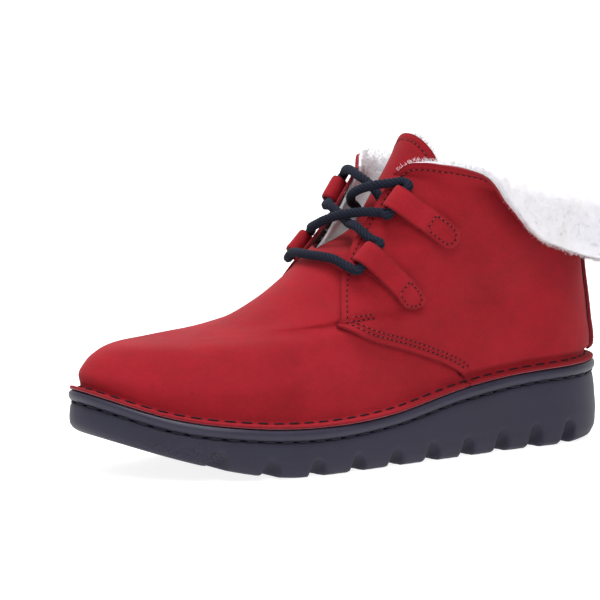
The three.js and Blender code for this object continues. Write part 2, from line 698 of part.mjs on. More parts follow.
// A round cord along the lace's centre line, between two lengths from its start.
function cord(from, to, radius, steps, sides) {
  const rings = [];
  let side = null;
  for (let k = 0; k <= steps; k++) {
    const f = clamp(lerp(from, to, k / steps) / laceLength, 0, 1);
    const p = laceCurve.getPointAt(f);
    const along = laceCurve.getTangentAt(f);
    side = side ?? new THREE.Vector3(0, 0, 1).cross(along);
    side.addScaledVector(along, -side.dot(along)).normalize();
    const up = along.clone().cross(side);
    const spoke = (_, i) => {
      const a = (2 * Math.PI * i) / sides;
      const q = p.clone().addScaledVector(side, radius * Math.cos(a));
      return q.addScaledVector(up, radius * Math.sin(a)).toArray();
    };
    rings.push(Array.from({ length: sides }, spoke));
  }
  return stack(rings);
}
const TIP = 13; // lace tips
add("lace", cord(TIP, laceLength - TIP, LACE / 2, 132, 8), 0x1c1f2b, 0.9);
add("lace_tip_inner", cord(0, TIP - SKIN_GAP, 2, 4, 8), 0x15161c, 0.3);
add("lace_tip_outer", cord(laceLength - TIP + SKIN_GAP, laceLength, 2, 4, 8), 0x15161c, 0.3);

export default group;
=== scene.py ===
"""A lace-up ankle boot with a fleece collar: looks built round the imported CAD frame."""
import math

import bmesh
import bpy
import numpy as np
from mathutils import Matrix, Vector


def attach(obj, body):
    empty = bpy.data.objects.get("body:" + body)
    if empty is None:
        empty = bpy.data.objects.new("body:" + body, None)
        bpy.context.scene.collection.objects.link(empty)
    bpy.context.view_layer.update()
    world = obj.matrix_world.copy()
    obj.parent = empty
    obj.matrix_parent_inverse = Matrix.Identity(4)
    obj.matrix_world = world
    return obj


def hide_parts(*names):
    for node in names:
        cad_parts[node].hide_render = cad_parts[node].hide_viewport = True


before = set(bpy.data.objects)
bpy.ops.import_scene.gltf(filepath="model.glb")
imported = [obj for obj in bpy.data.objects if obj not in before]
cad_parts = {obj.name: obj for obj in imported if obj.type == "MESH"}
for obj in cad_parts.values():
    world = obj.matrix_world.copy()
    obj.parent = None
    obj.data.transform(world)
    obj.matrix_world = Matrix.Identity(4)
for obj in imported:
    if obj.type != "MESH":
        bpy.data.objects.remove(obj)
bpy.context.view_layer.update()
MM = 0.001
RAD = math.pi / 180
rng = np.random.default_rng(7)

# ------------------------------------------------------------------ sizes, in mm and shares
HEEL_X, TOE_X = -140, 138.5
BAND = 5.4
GAP = 0.3
LEATHER = 1.6
LIFT = LEATHER + 0.45
FLEECE = 6
CREASE = 2
FLANGE = 2.6
NOTCHES, NOTCH_FIRST, NOTCH_PITCH, NOTCH_EASE = 10, 91, 24.6, 0.26
NOTCH_WIDTH, NOTCH_HEIGHT, NOTCH_REACH = 9, 8.8, 17
LACE = 4.5
STRAP_WIDTH, STRAP = 12, 1.4
STRIP_ANGLE = 16
VAMP_TOP = 0.885
TONGUE_BASE, TONGUE_TOP = 0.862, 1.125
BOARD, FOOTBED = 1.8, 5.5
HEEL_LOW, HEEL_TALL = 42.5, 67.5  # where the heel's back line starts, and how far it rises
EDGE_ROUND = 0.4  # how far the corners of a cut leather edge are worn back
EDGE_ROW, SECOND_ROW = 3.2, 5.2  # sewn rows in from a quarter's edge
TONGUE_ROW, STRIP_ROW = 3.4, 2.4
ROLL_NEAR = 14  # how far along the leather the collar's cut edge counts as near
TONGUE_SINK = 8  # how far the tongue's top lies below the quarters
TONGUE_LOW, TONGUE_WIDE = 25, 41  # the tongue's half width in degrees, at its base and its top
BOX_LONG, BOX_INSET = 7, 1.9  # the sewn box on a loop: its straight length, and in from the edge
LACE_STEP, TIP_LONG, TIP_RADIUS = 0.35, 13, 2.0
LACE_STRANDS, LACE_LEAD = 6, 14.0
TUNNEL_HALF = 8.8  # half of a lace's straight stretch through a loop


# ------------------------------------------------------------------ curves
def smooth(a, b, v):
    f = np.clip((np.asarray(v, float) - a) / (b - a), 0, 1)
    return f * f * (3 - 2 * f)


def lerp(a, b, f):
    return a + (b - a) * f


def unit(v):
    return v / np.linalg.norm(v, axis=-1, keepdims=True)


def hermite(s, start, start_slope, end, end_slope):
    """The cubic between two values with their slopes, at shares s of the way."""
    return (
        start * (2 * s**3 - 3 * s**2 + 1)
        + start_slope * (s**3 - 2 * s**2 + s)
        + end * (3 * s**2 - 2 * s**3)
        + end_slope * (s**3 - s**2)
    )


def slopes(values, step):
    """The slope at each value along the last axis, for a smooth line through them."""
    rise = np.diff(values, axis=-1) / step
    slope = np.empty_like(values)
    slope[..., 0], slope[..., -1] = rise[..., 0], rise[..., -1]
    slope[..., 1:-1] = (rise[..., :-1] * step[1:] + rise[..., 1:] * step[:-1]) / (step[:-1] + step[1:])
    return slope


def curve(points):
    """A smooth curve through rows [x, y, ...]; gives y, or a row where there are more values."""
    table = np.array(points, float)
    xs, ys = table[:, 0], table[:, 1:]
    slope = slopes(ys.T, np.diff(xs)).T

    def at(x):
        v = np.clip(np.asarray(x, float), xs[0], xs[-1])
        i = np.clip(np.searchsorted(xs, v, side="right") - 1, 0, len(xs) - 2)
        h = (xs[i + 1] - xs[i])[..., None]
        s = (v - xs[i])[..., None] / h
        out = hermite(s, ys[i], slope[i] * h, ys[i + 1], slope[i + 1] * h)
        return out[..., 0] if ys.shape[1] == 1 else out

    return at


def sheet_of(ts, us, rows):
    """A smooth surface over a table: values over u in each row t."""
    across = curve([[u] + [row[i] for row in rows] for i, u in enumerate(us)])
    ts = np.array(ts, float)
    step = np.diff(ts)

    def at(u, t):
        u, t = np.broadcast_arrays(np.asarray(u, float), np.asarray(t, float))
        values = across(u)
        slope = slopes(values, step)
        v = np.clip(t, ts[0], ts[-1])
        i = np.clip(np.searchsorted(ts, v, side="right") - 1, 0, len(ts) - 2)
        pick = lambda m, j: np.take_along_axis(m, j[..., None], -1)[..., 0]
        h = step[i]
        s = (v - ts[i]) / h
        return hermite(s, pick(values, i), pick(slope, i) * h, pick(values, i + 1), pick(slope, i + 1) * h)

    return at


def ripple(p, size, seed):
    """Smooth noise of about -1 to 1 at points in mm, with features of the given size."""
    r = np.random.default_rng(seed)
    total = 0
    for _ in range(9):
        way = r.normal(size=3)
        way *= 2 * math.pi / (size * r.uniform(0.7, 1.6)) / np.linalg.norm(way)
        total = total + np.sin(p @ way + r.uniform(0, 2 * math.pi))
    return total / 4


# ------------------------------------------------------------------ sole and upper surface
MID_X, HALF = (HEEL_X + TOE_X) / 2, (TOE_X - HEEL_X) / 2
seat_z = curve([
    [-140, 39], [-90, 37.6], [-45, 33], [0, 24.8], [35, 22.5], [75, 24.3], [110, 29.8], [140, 41],
])
lateral_half = curve([
    [0, 58], [0.06, 55], [0.2, 42], [0.35, 40.9], [0.5, 45.5], [0.7, 57.8], [0.85, 64], [1, 64],
])
medial_half = curve([
    [0, 58], [0.06, 54], [0.2, 40], [0.35, 34.5], [0.5, 34.5], [0.7, 48], [0.85, 55], [1, 55],
])
swing = curve([[0, 0], [0.6, 0], [0.75, -2], [0.9, -5.5], [1, -8]])


def tread_z(x):
    return 0.017 * np.maximum(0, np.asarray(x, float) - 50) ** 1.6


def share(a):
    return (1 + np.cos(a)) / 2


def angle_of(u):
    return np.arccos(np.clip(2 * np.asarray(u, float) - 1, -1, 1))


def outline(a, inset):
    """The sole's outline at angle a (0 at the toe, 90 degrees lateral), set in by inset."""
    u = share(a)
    half = np.where(np.sin(a) >= 0, lateral_half(u), medial_half(u))
    return MID_X + (HALF - inset) * np.cos(a), swing(u) + (half - inset) * np.sin(a)


front_line = curve([
    [0, 132.8, 41.6], [0.1, 133.8, 46.8], [0.18, 132, 50.3], [0.27, 127.3, 55.2], [0.36, 118.5, 59.5],
    [0.45, 102, 61.3], [0.54, 82, 63.2], [0.62, 64.5, 66.6], [0.7, 48, 73.4], [0.78, 33, 82.5],
    [0.86, 18, 94.2], [0.93, 2, 110.5], [1, -15, 134.5], [1.15, -29, 160],
])
back_x = curve([
    [0, -134.3], [0.08, -135], [0.25, -133], [0.45, -131],
    [0.65, -128.8], [0.8, -127.8], [1, -127], [1.15, -127],
])
WIDTH_T = [0, 0.15, 0.3, 0.45, 0.6, 0.8, 1, 1.15]
WIDTH_U = [0, 0.08, 0.2, 0.4, 0.6, 0.8, 1]
COLLAR_WIDTH = [43, 40.5, 36.3, 34.7, 37.2, 43, 41]
ANKLE_WIDTH = [45, 41.5, 36, 34.7, 35.2, 40, 40]
lateral_width = sheet_of(WIDTH_T, WIDTH_U, [
    [52, 48, 36.5, 36.5, 46, 56, 58],
    [54, 48.5, 37.5, 35.5, 44.5, 54, 56],
    [54, 48.5, 37.5, 33.5, 40.5, 46, 47],
    [52, 47, 37, 33, 38, 36, 34],
    [49, 44.5, 36, 33, 35, 41, 37],
    ANKLE_WIDTH, COLLAR_WIDTH, COLLAR_WIDTH,
])
medial_width = sheet_of(WIDTH_T, WIDTH_U, [
    [52, 47, 34.5, 28, 35, 49, 49],
    [54, 48, 36, 29, 35, 47, 47],
    [54, 48, 36.5, 31, 35, 42, 42],
    [52, 47, 36, 32, 35, 34, 33],
    [49, 44.5, 35.5, 32.5, 34.5, 40, 36],
    ANKLE_WIDTH, COLLAR_WIDTH, COLLAR_WIDTH,
])
roll = curve([  # u, length of the roll, its turn in degrees, its radius
    [0, 38.5, 180, 4.9], [0.24, 36.4, 178.5, 4.95], [0.33, 35.2, 178, 4.98], [0.42, 33.7, 174, 5],
    [0.545, 24.7, 165, 5.1], [0.62, 17.5, 150, 5.5], [0.683, 14.5, 115, 7.5], [0.735, 12, 65, 10],
    [0.8125, 10, 28, 18], [0.884, 8.5, 8, 20], [0.93, 6, 1, 20], [0.962, 1, 0, 20], [1, 1, 0, 20],
])
quarter_front = curve([
    [0, 0.325], [0.07, 0.352], [0.14, 0.39], [0.23, 0.455], [0.32, 0.545], [0.41, 0.62], [0.485, 0.685],
    [0.6, 0.762], [0.7, 0.836], [0.8, 0.905], [0.86, 0.942], [0.93, 0.962], [1, 0.962],
])


def ring(a, t):
    a, t = np.broadcast_arrays(np.asarray(a, float), np.asarray(t, float))
    u = share(a)
    front = front_line(t)
    low_front, low_back = front_line(0.0), back_x(0.0)
    low_x = lerp(low_back, low_front[0], u)
    sag = seat_z(low_x) + CREASE + LEATHER + 0.35 - lerp(HEEL_LOW, low_front[1], u)
    sag = sag * np.maximum(0, 1 - 2 * t) ** 2
    half = np.where(np.sin(a) >= 0, lateral_width(u, t), medial_width(u, t))
    x = lerp(back_x(t), front[..., 0], u)
    y = swing(u) * (1 - smooth(0.2, 0.8, t)) + half * np.sin(a)
    return np.stack([x, y, lerp(HEEL_LOW + HEEL_TALL * t, front[..., 1], u) + sag], -1)


def surface(a, r):
    """r runs from -1 (flange rim) through 0 (crease) and 1 (start of the roll) to 2 (cut edge)."""
    a, r = np.broadcast_arrays(np.asarray(a, float), np.asarray(r, float))
    t = np.clip(r, 0, 1)
    rolled = roll(share(a))
    turn = np.clip(-2 * r, 0, 1) * math.pi / 2
    run = np.clip(r - 1, 0, 1) * rolled[..., 0]
    radius = rolled[..., 2]
    bend = np.minimum(run / radius, rolled[..., 1] * RAD)
    rest = run - bend * radius
    out = CREASE * (1 - np.cos(turn)) + np.clip(-2 * r - 1, 0, 1) * FLANGE
    out = out + radius * (1 - np.cos(bend)) + rest * np.sin(bend)
    up = radius * np.sin(bend) + rest * np.cos(bend) - CREASE * np.sin(turn)
    p = ring(a, t)
    way = ring(a + 0.001, t) - ring(a - 0.001, t)
    way = np.stack([way[..., 1], -way[..., 0], 0 * way[..., 0]], -1)
    q = p + unit(way) * out[..., None]
    q[..., 2] += up + np.where(r < 0, seat_z(q[..., 0]) - seat_z(p[..., 0]), 0)
    return q


def normal(a, r, of=surface):
    e = 0.001
    return unit(np.cross(of(a + e, r) - of(a - e, r), of(a, r + e) - of(a, r - e)))


# ------------------------------------------------------------------ meshes
def make_mesh(name, points, faces, materials, face_material=None, rim=None):
    mesh = bpy.data.meshes.new(name)
    mesh.from_pydata((np.asarray(points) * MM).tolist(), [], faces)
    for m in materials:
        mesh.materials.append(m)
    mesh.polygons.foreach_set("use_smooth", np.ones(len(mesh.polygons), bool))
    if face_material is not None:
        mesh.polygons.foreach_set("material_index", np.asarray(face_material, np.int32))
    if rim is not None:
        mesh.attributes.new("rim", "FLOAT", "POINT").data.foreach_set("value", np.asarray(rim, np.float32))
    b = bmesh.new()
    b.from_mesh(mesh)
    bmesh.ops.recalc_face_normals(b, faces=b.faces)
    b.to_mesh(mesh)
    b.free()
    obj = bpy.data.objects.new(name, mesh)
    bpy.context.scene.collection.objects.link(obj)
    return obj


def place(obj, body="boot", replaces=()):
    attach(obj, body)
    if replaces:
        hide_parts(*replaces)
    return obj


def grid_faces(rows, cols, base=0, wrap=False):
    j, i = np.meshgrid(np.arange(rows - 1), np.arange(cols if wrap else cols - 1), indexing="ij")
    n = (i + 1) % cols
    quads = np.stack([j * cols + i, j * cols + n, (j + 1) * cols + n, (j + 1) * cols + i], -1)
    return quads.reshape(-1, 4) + base


def shell(name, outer, inner, materials, rim=None):
    """A closed sheet between two grids of points. Materials: outer face, inner face, cut edge."""
    rows, cols = outer.shape[:2]
    n = rows * cols
    top = grid_faces(rows, cols)
    low = grid_faces(rows, cols, n)[:, ::-1]
    ids = np.arange(n).reshape(rows, cols)
    loop = np.concatenate([ids[0, :-1], ids[:-1, -1], ids[-1, :0:-1], ids[:0:-1, 0]])
    nxt = np.roll(loop, -1)
    side = np.stack([loop, loop + n, nxt + n, nxt], -1)
    faces = np.concatenate([top, low, side])
    kinds = np.concatenate([np.zeros(len(top)), np.ones(len(low)), np.full(len(side), 2)])
    points = np.concatenate([outer.reshape(-1, 3), inner.reshape(-1, 3)])
    if rim is not None:
        rim = np.concatenate([rim.ravel(), rim.ravel()])
    return make_mesh(name, points, faces.tolist(), materials, kinds, rim)


def spaced(n, edge=0.0025):
    """0 to 1 in n steps, with two close ones at each end for a rounded edge."""
    middle = np.linspace(3 * edge, 1 - 3 * edge, n)
    return np.concatenate([[0, edge], middle, [1 - edge, 1]])


def corner(shape):
    """How much of the edge rounding each point of a grid takes."""
    rows, cols = shape
    w = np.zeros(shape)
    for k, v in [(1, 0.3), (0, 1.0)]:
        w[k, :], w[rows - 1 - k, :] = v, v
        w[:, k], w[:, cols - 1 - k] = np.maximum(w[:, k], v), np.maximum(w[:, cols - 1 - k], v)
    return w * EDGE_ROUND


def distance_to(points, line):
    """Distance of each point to the nearest point of a line, taken at 0.6 mm steps."""
    flat = points.reshape(-1, 3)
    dense = resample(line, 0.6)
    best = np.empty(len(flat))
    for k in range(0, len(flat), 4000):
        best[k:k + 4000] = np.linalg.norm(flat[k:k + 4000, None] - dense[None], axis=-1).min(1)
    return best.reshape(points.shape[:-1])


def around(points):
    """The line round a grid's open edge: up its first column, along its last row, down its last."""
    return np.concatenate([points[:, 0], points[-1], points[::-1, -1]])


def resample(path, step):
    path = np.asarray(path, float)
    along = np.concatenate([[0], np.cumsum(np.linalg.norm(np.diff(path[:, :3], axis=0), axis=1))])
    count = max(2, int(round(along[-1] / step)) + 1)
    marks = np.linspace(0, along[-1], count)
    return np.stack([np.interp(marks, along, path[:, k]) for k in range(path.shape[1])], -1)


def tube(path, radii, sides, ribs=None):
    """Points of a round tube along a path, with its rings' radii; ribs gives a share per point."""
    p = np.asarray(path, float)
    along = unit(np.gradient(p, axis=0))
    side = np.cross([0, 0, 1], along[0])
    side /= np.linalg.norm(side)
    rings = []
    for k in range(len(p)):
        side = side - along[k] * (side @ along[k])
        side /= np.linalg.norm(side)
        up = np.cross(along[k], side)
        a = np.arange(sides) * 2 * math.pi / sides
        r = radii[k] * (1 if ribs is None else ribs(k, a))
        rings.append(p[k] + np.outer(r * np.cos(a), side) + np.outer(r * np.sin(a), up))
    return np.array(rings)


def tube_faces(rows, sides, base=0):
    faces = grid_faces(rows, sides, base, wrap=True).tolist()
    faces.append([base + i for i in range(sides)][::-1])
    faces.append([base + (rows - 1) * sides + i for i in range(sides)])
    return faces


def stitches(name, path, up, material, pitch, length, radius, body="boot", start=0.0, sink=0.3):
    """A row of separate stitches along a path of points with the surface's normals there."""
    step = 0.25
    line = resample(np.concatenate([path, up], 1), step)
    p, n = line[:, :3], unit(line[:, 3:])
    per, long = pitch / step, length / step
    points, faces, rows, sides = [], [], 7, 6
    for k in range(int((len(p) - long - start / step) // per) + 1):
        first = k * per + start / step
        marks = np.linspace(first, first + long, rows)
        f = np.linspace(-1, 1, rows)
        at = np.stack([np.interp(marks, np.arange(len(p)), p[:, c]) for c in range(3)], -1)
        high = np.stack([np.interp(marks, np.arange(len(p)), n[:, c]) for c in range(3)], -1)
        at = at + high * (radius * 0.5 - (radius + sink) * f**6)[:, None]
        base = len(points) * rows * sides
        points.append(tube(at, radius * np.sqrt(np.clip(1 - 0.8 * f**4, 0, 1)), sides).reshape(-1, 3))
        faces += tube_faces(rows, sides, base)
    obj = make_mesh(name, np.concatenate(points), faces, [material])
    return place(obj, body)


# ------------------------------------------------------------------ materials
class Shader:
    """Small helper round one Principled material, with textures placed in metres on the object."""

    def __init__(self, name, **sockets):
        self.material = bpy.data.materials.new(name)
        self.material.use_nodes = True
        self.tree = self.material.node_tree
        self.bsdf = self.tree.nodes["Principled BSDF"]
        for key, value in sockets.items():
            self.bsdf.inputs[key.replace("_", " ")].default_value = value
        self.where = self.node("ShaderNodeTexCoord").outputs["Object"]
        self.bumped = None

    def node(self, kind, inputs=(), **settings):
        n = self.tree.nodes.new(kind)
        for key, value in settings.items():
            setattr(n, key, value)
        for key, value in dict(inputs).items():
            if isinstance(value, bpy.types.NodeSocket):
                self.tree.links.new(value, n.inputs[key])
            else:
                n.inputs[key].default_value = value
        return n

    def stretch(self, scale, turn=(0, 0, 0)):
        inputs = {"Vector": self.where, "Scale": scale, "Rotation": turn}
        return self.node("ShaderNodeMapping", inputs).outputs["Vector"]

    def noise(self, scale, detail=3, roughness=0.5, vector=None):
        inputs = {"Vector": vector or self.where, "Scale": scale, "Detail": detail, "Roughness": roughness}
        return self.node("ShaderNodeTexNoise", inputs).outputs["Fac"]

    def cells(self, scale, feature="F1"):
        n = self.node("ShaderNodeTexVoronoi", {"Vector": self.where, "Scale": scale}, feature=feature)
        return n.outputs["Distance"]

    def ramp(self, value, *stops):
        n = self.node("ShaderNodeValToRGB", {"Fac": value})
        while len(n.color_ramp.elements) < len(stops):
            n.color_ramp.elements.new(0.5)
        for e, (at, color) in zip(n.color_ramp.elements, stops):
            e.position = at
            e.color = (*color, 1) if isinstance(color, tuple) else (color, color, color, 1)
        return n.outputs["Color"]

    def mix(self, amount, a, b, how="MIX"):
        n = self.node("ShaderNodeMix", data_type="RGBA", blend_type=how)
        for place_of, value in ((0, amount), (6, a), (7, b)):
            if isinstance(value, bpy.types.NodeSocket):
                self.tree.links.new(value, n.inputs[place_of])
            else:
                n.inputs[place_of].default_value = (*value, 1) if place_of else value
        return n.outputs[2]

    def attribute(self, name):
        return self.node("ShaderNodeAttribute", attribute_name=name).outputs["Fac"]

    def height(self, value, size, strength=1):
        """Adds relief: size in metres from the value's 0 to its 1."""
        inputs = {"Height": value, "Distance": size, "Strength": strength}
        if self.bumped is not None:
            inputs["Normal"] = self.bumped
        self.bumped = self.node("ShaderNodeBump", inputs).outputs["Normal"]

    def done(self, color=None, roughness=None):
        if color is not None:
            self.tree.links.new(color, self.bsdf.inputs["Base Color"])
        if roughness is not None:
            self.tree.links.new(roughness, self.bsdf.inputs["Roughness"])
        if self.bumped is not None:
            self.tree.links.new(self.bumped, self.bsdf.inputs["Normal"])
        return self.material


def nubuck(name="nubuck", tone=1.0):
    s = Shader(name, Sheen_Weight=0.07, Sheen_Roughness=0.5, Sheen_Tint=(1, 0.4, 0.4, 1),
               Specular_IOR_Level=0.12)
    cloud = s.noise(26, 4, 0.6)
    nap = s.noise(120, 3, 0.6, s.stretch((1, 0.5, 2.2), (0.3, 0.5, 0)))
    deep = tuple(tone * c for c in (0.212, 0.0064, 0.0115))
    clear = tuple(tone * c for c in (0.282, 0.01, 0.0175))
    color = s.ramp(cloud, (0.3, deep), (0.7, clear))
    color = s.mix(0.18, color, s.ramp(nap, (0.3, (0.6, 0.55, 0.55)), (0.7, (1.25, 1.3, 1.3))), "MULTIPLY")
    grain = s.noise(2600, 4, 0.7)
    color = s.mix(0.2, color, s.ramp(grain, (0.3, 0.7), (0.7, 1.25)), "MULTIPLY")
    color = s.mix(0.22, color, s.ramp(s.noise(950, 3, 0.6), (0.35, 0.72), (0.65, 1.25)), "MULTIPLY")
    color = s.mix(s.attribute("rim"), color, tuple(0.42 * c for c in deep))
    s.height(s.noise(320, 3, 0.6), 0.00018, 0.6)
    s.height(grain, 0.00009, 0.8)
    return s.done(color, s.ramp(nap, (0.2, 0.8), (0.8, 0.95)))


def raw_edge():
    s = Shader("raw_leather_edge", Roughness=0.9, Specular_IOR_Level=0.2)
    fibre = s.noise(1500, 4, 0.7, s.stretch((1, 1, 4)))
    s.height(fibre, 0.0002, 0.8)
    return s.done(s.ramp(fibre, (0.3, (0.12, 0.004, 0.009)), (0.75, (0.26, 0.012, 0.022))))


def flesh_side():
    s = Shader("leather_flesh_side", Roughness=0.95, Sheen_Weight=0.2)
    hair = s.noise(900, 5, 0.7)
    s.height(hair, 0.0003, 0.7)
    return s.done(s.ramp(hair, (0.3, (0.19, 0.012, 0.018)), (0.7, (0.3, 0.03, 0.035))))


def fleece():
    s = Shader("shearling", Roughness=1.0, Sheen_Weight=0.12, Sheen_Roughness=0.6, Specular_IOR_Level=0.1)
    s.bsdf.inputs["Subsurface Weight"].default_value = 0.25
    s.bsdf.inputs["Subsurface Radius"].default_value = (0.004, 0.0035, 0.003)
    s.bsdf.inputs["Subsurface Scale"].default_value = 0.5
    curl = s.noise(420, 4, 0.65)
    tuft = s.cells(330)
    strand = s.noise(2400, 4, 0.75)
    color = s.ramp(s.noise(38, 3, 0.6), (0.35, (0.66, 0.645, 0.66)), (0.62, (0.71, 0.70, 0.745)))
    color = s.mix(0.2, color, s.ramp(curl, (0.25, 0.85), (0.65, 1.05)), "MULTIPLY")
    s.height(tuft, 0.0005, 0.25)
    s.height(curl, 0.0008, 0.4)
    s.height(strand, 0.00025, 0.6)
    return s.done(color)


def rubber(name, low, high, rough, grip=False):
    s = Shader(name, Specular_IOR_Level=0.35)
    dust = s.noise(34, 5, 0.65)
    speck = s.noise(1300, 3, 0.6)
    color = s.ramp(dust, (0.3, low), (0.72, high))
    color = s.mix(0.22, color, s.ramp(speck, (0.35, 0.72), (0.65, 1.25)), "MULTIPLY")
    s.height(speck, 0.00005, 0.6)
    s.height(s.noise(150, 2, 0.5), 0.00025, 0.5)
    if grip:
        place_of = s.node("ShaderNodeSeparateXYZ", {"Vector": s.where})
        ahead = {"Value": place_of.outputs["X"], "From Min": 0.085, "From Max": 0.098}
        below = {"Value": place_of.outputs["Z"], "From Min": 0.021, "From Max": 0.014}
        fore = s.node("ShaderNodeMapRange", ahead)
        low_down = s.node("ShaderNodeMapRange", below)
        both = s.node("ShaderNodeMath", {0: fore.outputs[0], 1: low_down.outputs[0]}, operation="MULTIPLY")
        pebble = s.node("ShaderNodeMath", {0: both.outputs[0], 1: s.cells(620)}, operation="MULTIPLY")
        s.height(pebble.outputs[0], 0.0011, 0.9)
    return s.done(color, s.ramp(dust, (0.3, rough), (0.75, rough + 0.16)))


def braid():
    s = Shader("lace_yarn", Roughness=0.85, Sheen_Weight=0.02, Sheen_Roughness=0.4, Specular_IOR_Level=0.06)
    yarn = s.noise(3200, 4, 0.7)
    s.height(yarn, 0.00018, 0.9)
    color = s.ramp(yarn, (0.3, (0.006, 0.0075, 0.014)), (0.72, (0.024, 0.028, 0.046)))
    # Painted shade: the grooves between the braid's strands are darkened towards near black, by the rim
    # attribute that holds each groove's depth.
    return s.done(s.mix(s.attribute("rim"), color, (0.0006, 0.0007, 0.0016)))


def thread(name, low, high):
    s = Shader(name, Roughness=0.7, Specular_IOR_Level=0.15)
    ply = s.noise(2800, 3, 0.6, s.stretch((1, 1, 2), (0.6, 0.2, 0.6)))
    s.height(ply, 0.00012, 0.8)
    return s.done(s.ramp(ply, (0.3, low), (0.7, high)))


def plain_grain(name, low, high, rough, scale=600, **more):
    s = Shader(name, **more)
    g = s.noise(scale, 4, 0.6)
    s.height(g, 0.00012, 0.6)
    return s.done(s.ramp(g, (0.3, low), (0.7, high)), s.ramp(g, (0.2, rough), (0.8, min(1, rough + 0.15))))


NUBUCK = nubuck()
NUBUCK_DARK = nubuck("nubuck_strip", 0.9)
RAW = raw_edge()
FLESH = flesh_side()
WOOL = fleece()
SOLE = rubber("sole_rubber_look", (0.012, 0.0105, 0.025), (0.02, 0.018, 0.038), 0.55, grip=True)
WELT = rubber("band_rubber_look", (0.014, 0.0125, 0.028), (0.023, 0.021, 0.042), 0.42)
YARN = braid()
RED_THREAD = thread("red_thread", (0.19, 0.012, 0.018), (0.32, 0.035, 0.045))
# Painted shade: the needle holes between stitches are drawn as small near-black pieces that stand in for
# the shade inside each hole.
NEEDLE_HOLE_SHADE = thread("needle_hole_painted_shade", (0.008, 0.0012, 0.002), (0.03, 0.004, 0.006))
BLACK_THREAD = thread("black_thread", (0.005, 0.005, 0.008), (0.018, 0.017, 0.026))
AGLET = plain_grain("lace_tip_look", (0.006, 0.006, 0.009), (0.014, 0.014, 0.02), 0.25, 900)
LEATHER_IN = plain_grain("footbed_leather_look", (0.4, 0.28, 0.17), (0.56, 0.42, 0.28), 0.6, 700)
FOAM = plain_grain("foam_look", (0.035, 0.035, 0.042), (0.07, 0.07, 0.08), 0.85, 1400)
FIBRE = plain_grain("fibre_board_look", (0.22, 0.15, 0.09), (0.38, 0.29, 0.19), 0.85, 500)
STIFF = plain_grain("stiffener_look", (0.5, 0.42, 0.3), (0.66, 0.58, 0.44), 0.75, 800)
STEEL = plain_grain("shank_look", (0.35, 0.36, 0.38), (0.52, 0.53, 0.55), 0.3, 300, Metallic=1.0)
for node, look in [("insole_board", FIBRE), ("shank", STEEL), ("footbed", FOAM), ("toe_puff", STIFF),
                   ("heel_counter", STIFF)]:
    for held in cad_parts[node].material_slots:
        held.material = look


# ------------------------------------------------------------------ sole
def sole_ring(inset, z, count):
    a = np.arange(count) * 2 * math.pi / count
    x, y = outline(a, inset(a) if callable(inset) else inset)
    return np.stack([x, y, z(x)], -1)


def stack(name, rings, materials):
    """Rings joined side by side, the first and last closed across the sole."""
    rings = np.array(rings)
    rows, n = rings.shape[:2]
    faces = grid_faces(rows, n, wrap=True).tolist()
    for base, flip in ((0, True), ((rows - 1) * n, False)):
        for i in range(n // 2):
            quad = [base + i, base + i + 1, base + (n - i - 1) % n, base + (n - i) % n]
            quad = list(dict.fromkeys(quad))
            if len(quad) > 2:
                faces.append(quad[::-1] if flip else quad)
    return make_mesh(name, rings.reshape(-1, 3), faces, materials)


def outsole_top(x):
    return seat_z(x) - BAND - GAP


def scoop(index, side):
    x = NOTCH_FIRST - NOTCH_PITCH * index + NOTCH_EASE * index**2
    a = side * math.acos((x - MID_X) / HALF)
    edge = float(outline(a, 0)[1])
    high = NOTCH_HEIGHT + 0.03 * max(0, -x)
    base = float(tread_z(x))
    loops = []
    for scale, into in ((1.25, -6), (1, 1), (0.72, 5), (0.36, 11), (0.08, NOTCH_REACH)):
        s = np.linspace(0, math.pi, 17)
        wide = NOTCH_WIDTH / 2 * (0.35 + 0.65 * scale)
        px, pz = x + wide * np.cos(s), base + high * scale * np.sin(s).clip(0) ** 0.8
        px = np.append(px, [x - NOTCH_WIDTH / 2 * scale, x + NOTCH_WIDTH / 2 * scale])
        pz = np.append(pz, [base - 8, base - 8])
        loops.append(np.stack([px, np.full_like(px, edge - side * into), pz], -1))
    return np.array(loops)


def make_outsole():
    wall = [(1, 2.4, 2.4), (0.95, 1.1, 1.2), (0.8, 0.7, 0.4), (0.45, 0.3, -0.6), (0.2, 0.5, -0.2),
            (0.06, 2, 2.2), (0, 4.5, 7)]
    rings = [
        sole_ring(lambda a: lerp(fore, heel, smooth(0.3, 0.95, -np.cos(a))),
                  lambda x: lerp(tread_z(x), outsole_top(x), up), 240)
        for up, fore, heel in wall
    ]
    sole = stack("outsole_raw", rings, [SOLE])
    points, faces = [], []
    for k in range(NOTCHES):
        for side in (1, -1):
            loops = scoop(k, side)
            rows, n = loops.shape[:2]
            faces += tube_faces(rows, n, sum(map(len, points)))
            points.append(loops.reshape(-1, 3))
    cutter = make_mesh("scoops", np.concatenate(points), faces, [SOLE])
    cut = sole.modifiers.new("cut", "BOOLEAN")
    cut.object, cut.operation, cut.solver = cutter, "DIFFERENCE", "EXACT"
    grain = sole.modifiers.new("even", "REMESH")
    grain.mode, grain.voxel_size, grain.use_smooth_shade = "VOXEL", 0.9 * MM, True
    soft = sole.modifiers.new("soft", "SMOOTH")
    soft.factor, soft.iterations = 0.5, 5
    evaluated = sole.evaluated_get(bpy.context.evaluated_depsgraph_get())
    mesh = bpy.data.meshes.new_from_object(evaluated)
    bpy.data.objects.remove(cutter)
    bpy.data.objects.remove(sole)
    mesh.materials.clear()
    mesh.materials.append(SOLE)
    moulded = bpy.data.objects.new("moulded_outsole", mesh)
    bpy.context.scene.collection.objects.link(moulded)
    return place(moulded, replaces=["outsole"])


def make_band():
    turn = np.linspace(-90, 90, 15) * RAD
    rings = [
        sole_ring(2.5 * (1 - math.cos(f)) + 0.02,
                  lambda x: seat_z(x) - BAND / 2 + BAND / 2 * math.sin(f), 320)
        for f in turn
    ]
    place(stack("welt_band", rings, [WELT]), replaces=["midsole"])


